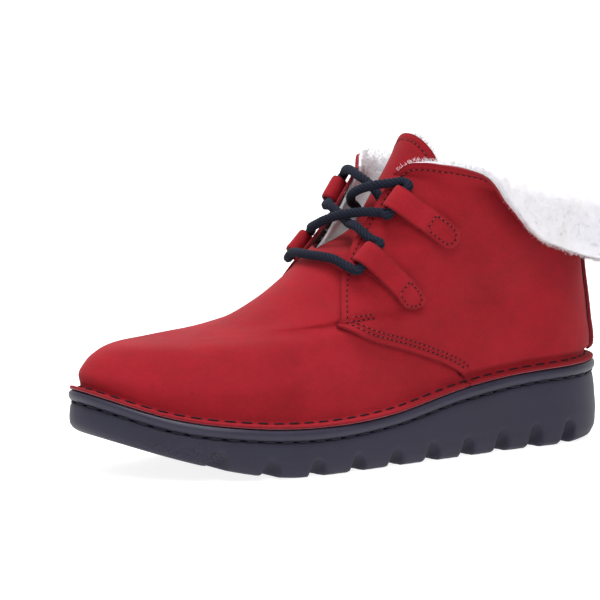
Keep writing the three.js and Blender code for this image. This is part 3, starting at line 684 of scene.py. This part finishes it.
def make_footbed_cover():
    low = GAP * 2 + BOARD + FOOTBED + GAP + 0.1
    cup = lambda x: 2.5 * smooth(20, 90, -x)
    wide = lambda grow: (lambda a: 16.4 + 2 * smooth(0.3, 0.9, -np.cos(a)) + grow)
    rings = [
        sole_ring(30, lambda x: seat_z(x) + low + 2.1, 160),
        sole_ring(21.6, lambda x: seat_z(x) + low + 2.2, 160),
        sole_ring(wide(1.2), lambda x: seat_z(x) + low + 3 + cup(x), 160),
        sole_ring(wide(0.2), lambda x: seat_z(x) + low + 2.9 + cup(x), 160),
        sole_ring(wide(0), lambda x: seat_z(x) + low + 2 + cup(x), 160),
        sole_ring(wide(0), lambda x: seat_z(x) + low + 1 + cup(x), 160),
        sole_ring(22.4, lambda x: seat_z(x) + low, 160),
    ]
    cover = stack("footbed_top", rings, [LEATHER_IN])
    place(cover, replaces=["footbed_cover"])


# ------------------------------------------------------------------ upper
def layer(a, r, by, of=surface):
    return of(a, r) + normal(a, r, of) * np.asarray(by)[..., None]


def close_ends(rows, low, high):
    return np.concatenate([[rows[0], rows[0] + low], rows[1:-1], [rows[-1] - high, rows[-1]]])


def drift(p, r):
    """Slow unevenness of the leather, the same for every layer at one place."""
    fade = smooth(0.03, 0.16, r)
    return fade * (0.28 * ripple(p, 42, 1) + 0.1 * ripple(p, 17, 2))


def eased(points, r):
    """Points with the crease at the start of the roll worn soft."""
    weight = 0.5 * np.exp(-(((r - 1) / 0.09) ** 2))[1:-1, :, None]
    for _ in range(40):
        points[1:-1] = lerp(points[1:-1], (points[:-2] + points[2:]) / 2, weight)
    return points


def leather(name, a, r, low, materials=None, of=surface, groove=(), near=None):
    """A leather panel over a grid of surface places, its flesh side at offset low.

    near gives each point's distance to the panel's open edge, groove the places of sewn rows.
    """
    base = of(a, r)
    wave = drift(base, r) if of is surface else 0.4 * drift(base, r)
    worn = corner(a.shape)
    top = low + LEATHER + wave - worn
    rim = np.zeros(a.shape)
    if near is not None:
        d = near(base)
        rim = 0.6 * np.exp(-((d / 0.6) ** 2))
        for at in groove:
            dent = np.exp(-(((d - at) / 0.8) ** 2))
            top = top - 0.22 * dent
            rim = rim + 0.12 * dent
    outer = layer(a, r, top, of)
    inner = layer(a, r, low + wave + worn, of)
    if of is surface and r.max() > 1:
        outer, inner = eased(outer, r), eased(inner, r)
    return shell(name, outer, inner, materials or [NUBUCK, FLESH, RAW], np.clip(rim, 0, 1)), outer


def vamp_back(r):
    return quarter_front(np.clip(r, 0, 1)) + 0.0008 - 0.036 * smooth(0.03, 0.1, r)


def make_vamp():
    rows = np.concatenate([np.linspace(-1, 0, 12)[:-1], np.linspace(0, VAMP_TOP, 76)])
    rows = close_ends(rows, 0.06, 0.006)
    f, r = np.meshgrid(spaced(150), rows)
    a = angle_of(vamp_back(r)) * (1 - 2 * f)
    vamp, _ = leather("vamp_leather", a, r, -LEATHER, near=lambda p: distance_to(p, p[-1]))
    place(vamp, replaces=["vamp"])
    rows = np.linspace(0.03, 0.83, 46)
    f, r = np.meshgrid(np.linspace(0, 1, 90), rows)
    a = angle_of(quarter_front(r) + 0.016) * (1 - 2 * f)
    pile = 0.5 * ripple(surface(a, r), 5, 3) * smooth(0.03, 0.1, r)
    out = np.full(a.shape, -LEATHER - 2.3)
    lining = shell("vamp_wool", layer(a, r, out), layer(a, r, out - 3.6 + pile), [WOOL] * 3)
    place(lining, replaces=["vamp_lining"])


def lift(r):
    return LIFT * smooth(0, 0.05, r)


def crossing(values, level):
    """First place along a line of values where they pass the level, as a fractional index."""
    over = np.nonzero(values > level)[0]
    if not len(over) or over[0] == 0:
        return None
    i = over[0]
    return i - 1 + (level - values[i - 1]) / (values[i] - values[i - 1])


def take(line, x):
    """The value at a fractional index along a line of points."""
    return lerp(line[int(x)], line[min(int(x) + 1, len(line) - 1)], x - int(x))


def seam(points, up, front, top, level, rows, columns):
    """The line at one distance inside a panel's edges: up its front, then back along its top."""
    path = []
    both = np.concatenate([points, up], -1)
    for j in rows:
        x = crossing(front[j], level)
        if x is not None and top[j, int(x)] >= level:
            path.append(take(both[j], x))
    for i in columns:
        x = crossing(top[::-1, i], level)
        if x is not None and front[::-1, i][int(x)] >= level:
            path.append(take(both[::-1, i], x))
    path = resample(path, 0.5)
    for _ in range(3):
        path[1:-1] = (path[:-2] + path[1:-1] + path[2:]) / 3
    return path[:, :3], path[:, 3:]


def sewn(name, path, up, pitch=2.8, body="boot"):
    """A sewn row: red thread lying between needle holes, the holes' shade painted on as small near-black
    pieces.
    """
    stitches(name, path, up, RED_THREAD, pitch, pitch - 1.0, 0.26, body)
    # Painted shade: near-black pieces over the needle holes between the red stitches.
    stitches(name + "_painted_hole_shade", path, up, NEEDLE_HOLE_SHADE, pitch, 1.2, 0.31, body, start=pitch - 1.1)


def top_distance(points):
    """Distance to the last row, where that row is also near along the leather."""
    run = np.linalg.norm(np.diff(points, axis=0), axis=-1)[::-1]
    run = np.concatenate([np.cumsum(run, axis=0)[::-1], np.zeros((1, points.shape[1]))])
    return np.where(run < ROLL_NEAR, distance_to(points, points[-1]), 99.0)


HEEL_SEAM = math.pi - 0.004
BARS = [((61, 0.6096), (69.1, 0.6087)), ((63.1, 0.5819), (77.1, 0.5089))]


def make_quarter(side, name):
    rows = np.concatenate([np.linspace(-1, 0, 12)[:-1], np.linspace(0, 1, 96)[:-1], np.linspace(1, 2, 64)])
    f, r = np.meshgrid(spaced(150), close_ends(rows, 0.06, 0.01))
    a = side * lerp(angle_of(quarter_front(np.clip(r, 0, 1))), HEEL_SEAM, f)
    low = lift(r) - LEATHER
    near = lambda p: np.minimum(distance_to(p, p[:, 0]), top_distance(p))
    quarter, outer = leather(name + "_quarter_leather", a, r, low, near=near, groove=[EDGE_ROW])
    place(quarter, replaces=[name + "_quarter"])
    up = normal(a, r)
    front, top = distance_to(outer, outer[:, 0]), top_distance(outer)
    rise = [j for j in range(a.shape[0]) if r[j, 0] > 0.05]
    sewn(name + "_edge_row", *seam(outer, up, front, top, EDGE_ROW, rise, range(a.shape[1])))
    lower = [j for j in rise if r[j, 0] < 0.545]
    sewn(name + "_second_row", *seam(outer, up, front, top, SECOND_ROW, lower, []))
    for k, (start, end) in enumerate(BARS):
        f = np.linspace(0, 1, 20)
        bar_a, bar_t = side * lerp(start[0], end[0], f) * RAD, lerp(start[1], end[1], f)
        high = LIFT + drift(surface(bar_a, bar_t), bar_t)
        sewn(f"{name}_bar_{k + 1}", layer(bar_a, bar_t, high), normal(bar_a, bar_t), 2.6)
    make_quarter_lining(side, name)


def lining_out(r):
    return lerp(-LIFT - 0.4, 0.3, smooth(VAMP_TOP, 0.97, r))


def lining_thick(a, r):
    edge = quarter_front(np.clip(r, 0, 1))
    throat = smooth(0, 1, (share(a) - edge + 0.16) / 0.13) * smooth(0.4, 0.6, r)
    return lerp(lerp(FLEECE, 5.4, smooth(0.9, 1.1, r)), 2.4, throat)


def make_quarter_lining(side, name):
    rows = np.concatenate([np.linspace(0.03, 1, 84)[:-1], np.linspace(1, 2, 64)])
    f, r = np.meshgrid(spaced(170, 0.004), close_ends(rows, 0.01, 0.012))
    a = side * lerp(angle_of(quarter_front(np.clip(r, 0, 1)) - 0.008), HEEL_SEAM, f)
    base = surface(a, r)
    edge = np.minimum(distance_to(base, base[:, 0]), top_distance(base))
    full = np.sqrt(np.clip(edge / 4.5, 0.03, 1))
    pile = 0.4 * ripple(base, 8, 4) + 0.16 * ripple(base, 4.2, 5)
    out = lining_out(r) + drift(base, r)
    thick = lining_thick(a, r) * (0.45 + 0.55 * full) + pile * full
    inner = layer(a, r, out - np.maximum(thick, 1.2))
    lining = shell(name + "_quarter_wool", layer(a, r, out), inner, [WOOL, WOOL, WOOL])
    place(lining, replaces=[name + "_quarter_lining"])
    up = normal(a, r)
    make_tufts(name + "_collar_wisps", inner, -up, (r > 0.75) & (edge > 1), 2200)
    ahead = layer(a, r, out - 1)
    out_of_top = unit(np.gradient(ahead, axis=0)[-1:])
    make_tufts(name + "_top_fringe", layer(a, r, out - 2)[-1:], out_of_top, r[-1:] > 0, 900, long=1.9)
    forward = unit(-np.gradient(ahead, axis=1)[:, :1])
    open_part = (r[:, :1] > 0.42) & (r[:, :1] < 0.99)
    front_edge = layer(a, r, out - 0.8)[:, :1]
    make_tufts(name + "_front_fringe", front_edge, forward + 0.4 * up[:, :1], open_part, 260, long=2.2)


def make_tufts(name, points, up, where, count, body="boot", long=2.1):
    """Short curled wisps of pile standing off a wool surface."""
    j, i = np.nonzero(where)
    pick = rng.integers(0, len(j), count)
    p = points[j[pick], i[pick]] + rng.normal(0, 0.7, (count, 3))
    n = up[j[pick], i[pick]]
    lean = rng.normal(0, 1, (count, 3))
    lean = unit(lean - n * (lean * n).sum(1, keepdims=True))
    size = long * rng.uniform(0.5, 1.15, count)
    rings, sides = 5, 3
    third = np.cross(n, lean)
    grid = np.zeros((count, rings, sides, 3))
    for k in range(rings):
        f = k / (rings - 1)
        curl = size * (1 - math.cos(1.9 * f)) * 0.6
        at = p + n * (size * (0.75 * f - 0.12))[:, None] + lean * curl[:, None]
        at = at + third * (size * 0.22 * math.sin(3.2 * f))[:, None]
        radius = 0.13 * (1 - f) ** 0.6 + 0.025
        for c in range(sides):
            w = c * 2 * math.pi / sides
            grid[:, k, c] = at + radius * (math.cos(w) * lean + math.sin(w) * third)
    one = np.array(grid_faces(rings, sides, wrap=True))
    faces = (one[None] + np.arange(count)[:, None, None] * rings * sides).reshape(-1, 4).tolist()
    caps = np.array([[0, 1, 2], [12, 13, 14]])
    faces += (caps[None] + np.arange(count)[:, None, None] * rings * sides).reshape(-1, 3).tolist()
    place(make_mesh(name, grid.reshape(-1, 3), faces, [WOOL]), body)


def from_side(points, up, way):
    """A panel read from one side (way 1 or -1), with its distances from that side and the top."""
    side = distance_to(points, points[:, ::way][:, 0])
    top = distance_to(points, points[-1])
    return points[:, ::way], up[:, ::way], side[:, ::way], top[:, ::way]


def make_back_strip():
    rows = close_ends(np.linspace(0.012, VAMP_TOP, 60), 0.005, 0.005)
    f, r = np.meshgrid(spaced(34, 0.012), rows)
    a = math.pi + lerp(-1, 1, f) * STRIP_ANGLE * RAD
    near = lambda p: distance_to(p, around(p))
    strip, outer = leather("back_strip_leather", a, r, lift(r) + GAP, [NUBUCK_DARK, FLESH, RAW],
                           near=near, groove=[STRIP_ROW])
    place(strip, replaces=["back_strip"])
    up = normal(a, r)
    for k, way in enumerate((1, -1)):
        path = seam(*from_side(outer, up, way), STRIP_ROW, range(2, len(rows) - 2), [])
        sewn(f"back_strip_row_{k + 1}", *path)


# ------------------------------------------------------------------ tongue
def tongue_deep(t):
    return -LIFT - TONGUE_SINK * smooth(0.87, 0.945, t)


def tongue_place(f, v):
    across = 2 * f - 1
    half = RAD * lerp(TONGUE_LOW, TONGUE_WIDE, smooth(0.9, 1, lerp(TONGUE_BASE, TONGUE_TOP, v)))
    top = TONGUE_TOP - 0.08 * np.abs(across) ** 2.4
    return -across * half, lerp(TONGUE_BASE, top, v)


def make_tongue():
    f, v = np.meshgrid(spaced(70, 0.008), close_ends(np.linspace(0, 1, 80), 0.006, 0.006))
    a, t = tongue_place(f, v)
    low = tongue_deep(t) - LEATHER
    near = lambda p: distance_to(p, around(p))
    tongue, outer = leather("tongue_leather", a, t, low, of=ring, near=near, groove=[TONGUE_ROW])
    place(tongue, "tongue", ["tongue"])
    up = normal(a, t, ring)
    rise = [j for j in range(a.shape[0]) if v[j, 0] > 0.5]
    for k, way in enumerate((1, -1)):
        path = seam(*from_side(outer, up, way), TONGUE_ROW, rise, range(a.shape[1] // 2))
        sewn(f"tongue_row_{k + 1}", *path, body="tongue")
    f, v = np.meshgrid(np.linspace(0.03, 0.97, 70), np.linspace(0, 1, 84))
    a, t = tongue_place(f, v)
    t = lerp(t, 1, 0.02)
    base = ring(a, t)
    edge = distance_to(base, around(base))
    full = np.sqrt(np.clip(edge / 3.5, 0.03, 1))
    pile = 0.4 * ripple(base, 6, 8) + 0.3 * ripple(base, 3, 9)
    out = tongue_deep(t) - LIFT
    inner = layer(a, t, out - 3.6 * (0.5 + 0.5 * full) - pile * full, ring)
    wool = shell("tongue_wool", layer(a, t, out, ring), inner, [WOOL] * 3)
    place(wool, "tongue", ["tongue_lining"])
    make_tufts("tongue_wisps", inner, -normal(a, t, ring), (v > 0.62) & (edge > 1), 900, "tongue")
    out_of_top = unit(np.gradient(base, axis=0)[-1:])
    make_tufts("tongue_fringe", layer(a, t, out - 2, ring)[-1:], out_of_top, v[-1:] > 0, 420, "tongue", 2.2)


# ------------------------------------------------------------------ lace loops
TUNNEL = LACE / 2 + 0.5
STRAP_GAP = 0.6
TUNNEL_H = STRAP_GAP + STRAP + TUNNEL
LOOP_SEATS = {"upper": ((35.6, 0.962), (63.6, 0.922)), "lower": ((40.9, 0.855), (76, 0.672))}


def seat(side, head, tail):
    """A flat place on a quarter: s runs from the tunnel to the sewn end, w across, h up."""
    (ha, ht), (ea, et) = [(side * deg * RAD, t) for deg, t in (head, tail)]
    origin, end = surface(ha, ht), surface(ea, et)
    up = normal(lerp(ha, ea, 0.5), lerp(ht, et, 0.5))
    along = end - origin
    along = along - up * (along @ up)
    along /= np.linalg.norm(along)
    across = np.cross(up, along) * side
    length = float((end - origin) @ along)

    def at(s, w, high):
        s, w, high = np.broadcast_arrays(*(np.asarray(v, float) for v in (s, w, high)))
        a, t = lerp(ha, ea, s / length), lerp(ht, et, s / length)
        for _ in range(6):  # Newton's steps towards the place that lies at s and w
            here = surface(a, t)
            p = here - origin
            da, dt = (surface(a + 0.001, t) - here) * 1000, (surface(a, t + 0.001) - here) * 1000
            m00, m01, m10, m11 = da @ along, dt @ along, da @ across, dt @ across
            e0, e1 = s - p @ along, w - p @ across
            det = m00 * m11 - m01 * m10
            a = a + (e0 * m11 - e1 * m01) / det
            t = t + (e1 * m00 - e0 * m10) / det
        return layer(a, t, LIFT + high + drift(surface(a, t), t))

    return length, at


def loop_path(end):
    """Side view of a loop's strip: back under the leaf, round the lace, and out over the top."""
    half = STRAP / 2
    low, radius = STRAP_GAP + half, TUNNEL + half
    turn = np.linspace(-90, -262, 20) * RAD
    nose = np.stack([radius * np.cos(turn), TUNNEL_H + radius * np.sin(turn)], -1)
    f = np.linspace(0, 1, 14)[1:]
    fall_to = np.array([12.5, low + STRAP + 0.12])
    start = nose[-1]
    fall = np.stack([lerp(start[0], fall_to[0], f), lerp(start[1], fall_to[1], f * f * (3 - 2 * f))], -1)
    under = np.stack([np.linspace(end, 0.4, 26), np.full(26, low)], -1)
    g = np.linspace(0, 1, 16)[1:]
    over = np.stack([lerp(fall_to[0], end, g), np.full(15, fall_to[1])], -1)
    return np.concatenate([under, nose[1:], fall, over])


def make_loop(side, name, level):
    length, at = seat(side, *LOOP_SEATS[level])
    ws = (spaced(15, 0.03) * 2 - 1) * STRAP_WIDTH / 2
    outer, inner = [], []
    for w in ws:
        end = length + math.sqrt(max(0.0, (STRAP_WIDTH / 2) ** 2 - w**2)) * 0.98
        path = loop_path(end)
        way = unit(np.gradient(path, axis=0))
        out = np.stack([way[:, 1], -way[:, 0]], -1)
        worn = 0.3 * smooth(0.86, 1, abs(w) / (STRAP_WIDTH / 2))
        for grid, reach in ((outer, -STRAP / 2 + worn), (inner, STRAP / 2 - worn)):
            q = path + out * reach
            grid.append(at(q[:, 0], w, q[:, 1]))
    outer, inner = (np.array(g).transpose(1, 0, 2) for g in (outer, inner))
    rim = np.zeros(outer.shape[:2])
    rim[:, [0, 1, -2, -1]] = 0.5
    strap = shell(f"{name}_{level}_strap", outer, inner, [NUBUCK, NUBUCK, RAW], rim)
    place(strap, replaces=[f"{name}_{level}_loop"])
    top = STRAP_GAP + 2 * STRAP + 0.15
    inset = STRAP_WIDTH / 2 - BOX_INSET
    arc = np.linspace(90, -90, 13) * RAD
    box = [(length - BOX_LONG, -inset), (length - BOX_LONG, inset), (length, inset)]
    box += [(length + inset * math.cos(f), inset * math.sin(f)) for f in arc[1:-1]]
    box += [(length, -inset), (length - BOX_LONG, -inset)]
    box = resample(np.array([(s, w, top) for s, w in box]), 0.4)
    points = at(box[:, 0], box[:, 1], box[:, 2])
    high = at(box[:, 0], box[:, 1], box[:, 2] + 1) - points
    sewn(f"{name}_{level}_box", points, high, 2.5)
    return at


# ------------------------------------------------------------------ lace
def lace_route(seats):
    """The lace's points: open runs as [angle, t, height over the upper], and the loops' tunnels."""
    def tunnel(key, start):
        at = seats[key]
        upper = 1 if at(0, 7, TUNNEL_H)[2] > at(0, -7, TUNNEL_H)[2] else -1
        shares = (-1, -0.55, 0, 0.55, 1)
        return np.array([at(0, TUNNEL_HALF * w * -start * upper, TUNNEL_H) for w in shares])

    def run(*points):
        a, t, high = np.array(points, float).T
        return layer(a * RAD, t, high, ring)

    ends = [(-58, 0.935, -10.2), (-50, 0.943, -9.4), (-42, 0.95, -7.9), (-33, 0.957, -6.7)]
    return np.concatenate([
        run(*ends, (-24, 0.96, -6.2)),
        run((-15, 0.962, -3.4), (-4, 0.967, 0.6), (8, 0.972, 3.4), (18, 0.978, 4.7), (26, 0.983, 5.1),
            (33, 0.9875, 5.5)),
        tunnel(("lateral", "upper"), 1),
        run((32, 0.945, 5), (22, 0.944, 4.8), (12, 0.94, 4.4), (3, 0.934, 4.4), (-8, 0.924, 4.4),
            (-18, 0.913, 4.7), (-27, 0.904, 5.4)),
        tunnel(("medial", "lower"), 1),
        run((-33, 0.832, 5.2), (-24, 0.85, 4.4), (-10, 0.86, 3.3), (3, 0.862, 3.1), (14, 0.86, 3.6),
            (24, 0.853, 4.5), (33, 0.835, 5.2)),
        tunnel(("lateral", "lower"), -1),
        run((35, 0.898, 5.8), (28, 0.911, 5.2), (21, 0.922, 4.5), (11, 0.931, 0.4), (2, 0.938, -1.4),
            (-8, 0.943, 0.4), (-20, 0.946, 4.6), (-29, 0.947, 5.1)),
        tunnel(("medial", "upper"), -1),
        run((-34, 0.988, 6.4), (-27, 0.992, 5.6), (-18, 0.993, 3.9), (-8, 0.99, 1.2), (2, 0.986, -1.6),
            (12, 0.978, -4), (22, 0.966, -6)),
        run(*[(-deg, t, high) for deg, t, high in ends[::-1]]),
    ])


def catmull(points, per=40):
    """A centripetal Catmull-Rom line through the points."""
    p = np.concatenate([[2 * points[0] - points[1]], points, [2 * points[-1] - points[-2]]])
    out = []
    for k in range(1, len(p) - 2):
        d = [math.sqrt(np.linalg.norm(p[k + i] - p[k + i - 1])) for i in (0, 1, 2)]
        before, here, after = ((p[k + i] - p[k + i - 1]) / d[i] for i in (0, 1, 2))
        m1 = (before - (p[k + 1] - p[k - 1]) / (d[0] + d[1]) + here) * d[1]
        m2 = (here - (p[k + 2] - p[k]) / (d[1] + d[2]) + after) * d[1]
        s = np.linspace(0, 1, per, endpoint=False)[:, None]
        out.append(hermite(s, p[k], m1, p[k + 1], m2))
    return np.concatenate(out + [p[-2:-1]])


def make_lace(seats):
    line = resample(catmull(lace_route(seats)), LACE_STEP)
    tip = int(TIP_LONG / LACE_STEP)
    body = line[tip:-tip]

    def ribs(k, a):
        twist = LACE_STRANDS * math.pi * k * LACE_STEP / LACE_LEAD
        return 0.82 + 0.2 * np.abs(np.cos(LACE_STRANDS / 2 * a - twist)) ** 0.7

    radii = np.full(len(body), LACE / 2)
    rings = tube(body, radii, 28, ribs)
    depth = np.array([(0.97 - ribs(k, np.arange(28) * 2 * math.pi / 28)) * 6 for k in range(len(body))])
    faces = tube_faces(len(body), 28)
    # The groove depth goes to the rim attribute, which the yarn material uses to paint shade into the
    # grooves.
    groove = np.clip(depth.ravel(), 0, 1)
    lace = make_mesh("lace_cord_run", rings.reshape(-1, 3), faces, [YARN], rim=groove)
    place(lace, replaces=["lace"])
    ends = ((line[:tip - 1], "lace_tip_inner"), (line[:-tip:-1], "lace_tip_outer"))
    for k, (part, node) in enumerate(ends):
        f = np.linspace(0, 1, len(part))
        nose = 1 - (1 - np.clip(f / 0.06, 0, 1)) ** 2
        radii = TIP_RADIUS * np.sqrt(np.clip(nose, 0.1, 1)) - 0.12 * smooth(0.9, 0.94, f)
        points = tube(part, radii, 24).reshape(-1, 3)
        end = make_mesh(f"lace_tip_{k + 1}", points, tube_faces(len(part), 24), [AGLET])
        place(end, replaces=[node])


# ------------------------------------------------------------------ seams of the sole
def make_sole_seams():
    a = np.linspace(-math.pi, math.pi, 900)
    r = np.full(a.shape, -0.27)
    path = layer(a, r, np.full(a.shape, 0.1))
    stitches("flange_stitches", path, normal(a, r), BLACK_THREAD, 7.8, 6.2, 0.36)
    x, y = outline(a, 2)
    path = np.stack([x, y, seat_z(x) - BAND - 0.1], -1)
    ahead = np.gradient(path, axis=0)
    out = unit(np.stack([ahead[:, 1], -ahead[:, 0], 0 * x], -1))
    stitches("groove_stitches", path, out, BLACK_THREAD, 8.6, 7, 0.65, sink=0.8)


# ------------------------------------------------------------------ studio
def make_studio():
    scene = bpy.context.scene
    turn, tip, reach = 31 * RAD, 7.5 * RAD, 1790
    back = np.array([math.sin(turn) * math.cos(tip), math.cos(turn) * math.cos(tip), math.sin(tip)])
    eye = Vector((np.array([0, 0, 60]) + back * reach) * MM)
    aim = Vector((0.0161, -0.0118, 0.0736))
    camera = bpy.data.objects.new("camera", bpy.data.cameras.new("camera"))
    camera.data.lens, camera.data.sensor_width = 226.8, 36
    camera.location = eye
    camera.rotation_euler = (aim - eye).to_track_quat("-Z", "Y").to_euler()
    scene.collection.objects.link(camera)
    scene.camera = camera
    scene.view_settings.view_transform = "Standard"

    floor = make_mesh("floor", [(-9000, -9000, 0), (9000, -9000, 0), (9000, 9000, 0), (-9000, 9000, 0)],
                      [[0, 1, 2, 3]], [])
    sweep = make_mesh("backdrop", [(6, -9, -1), (-9, 1, -1), (-9, 1, 7), (6, -9, 7)], [[0, 1, 2, 3]], [])
    sweep.scale = (1000, 1000, 1000)
    for sheet, glow, tone in ((floor, 0.85, 0.45), (sweep, 1.0, 0.3)):
        paper = Shader(sheet.name + "_paper", Base_Color=(tone, tone, tone, 1), Roughness=0.9,
                       Specular_IOR_Level=0.1)
        paper.bsdf.inputs["Emission Color"].default_value = (1, 1, 1, 1)
        paper.bsdf.inputs["Emission Strength"].default_value = glow
        sheet.data.materials.append(paper.material)

    world = bpy.data.worlds.new("studio")
    scene.world = world
    world.use_nodes = True
    world.node_tree.nodes["Background"].inputs["Color"].default_value = (1, 1, 1, 1)
    world.node_tree.nodes["Background"].inputs["Strength"].default_value = 0.5
    middle = Vector((0, 0, 0.07))
    for name, at, size, power in (
        ("key", (0.5, 1.1, 1.4), 0.9, 13),
        ("rim", (-0.6, -1.1, 1.1), 1.0, 8),
        ("top", (0.15, 0.0, 1.7), 0.6, 26),
    ):
        light = bpy.data.objects.new(name, bpy.data.lights.new(name, "AREA"))
        light.data.size, light.data.energy = size, power
        light.location = at
        light.rotation_euler = (middle - Vector(at)).to_track_quat("-Z", "Y").to_euler()
        scene.collection.objects.link(light)


make_studio()
make_outsole()
make_band()
make_footbed_cover()
make_vamp()
loops = {}
for side, name in ((1, "lateral"), (-1, "medial")):
    make_quarter(side, name)
    for level in LOOP_SEATS:
        loops[name, level] = make_loop(side, name, level)
make_back_strip()
make_tongue()
make_lace(loops)
make_sole_seams()
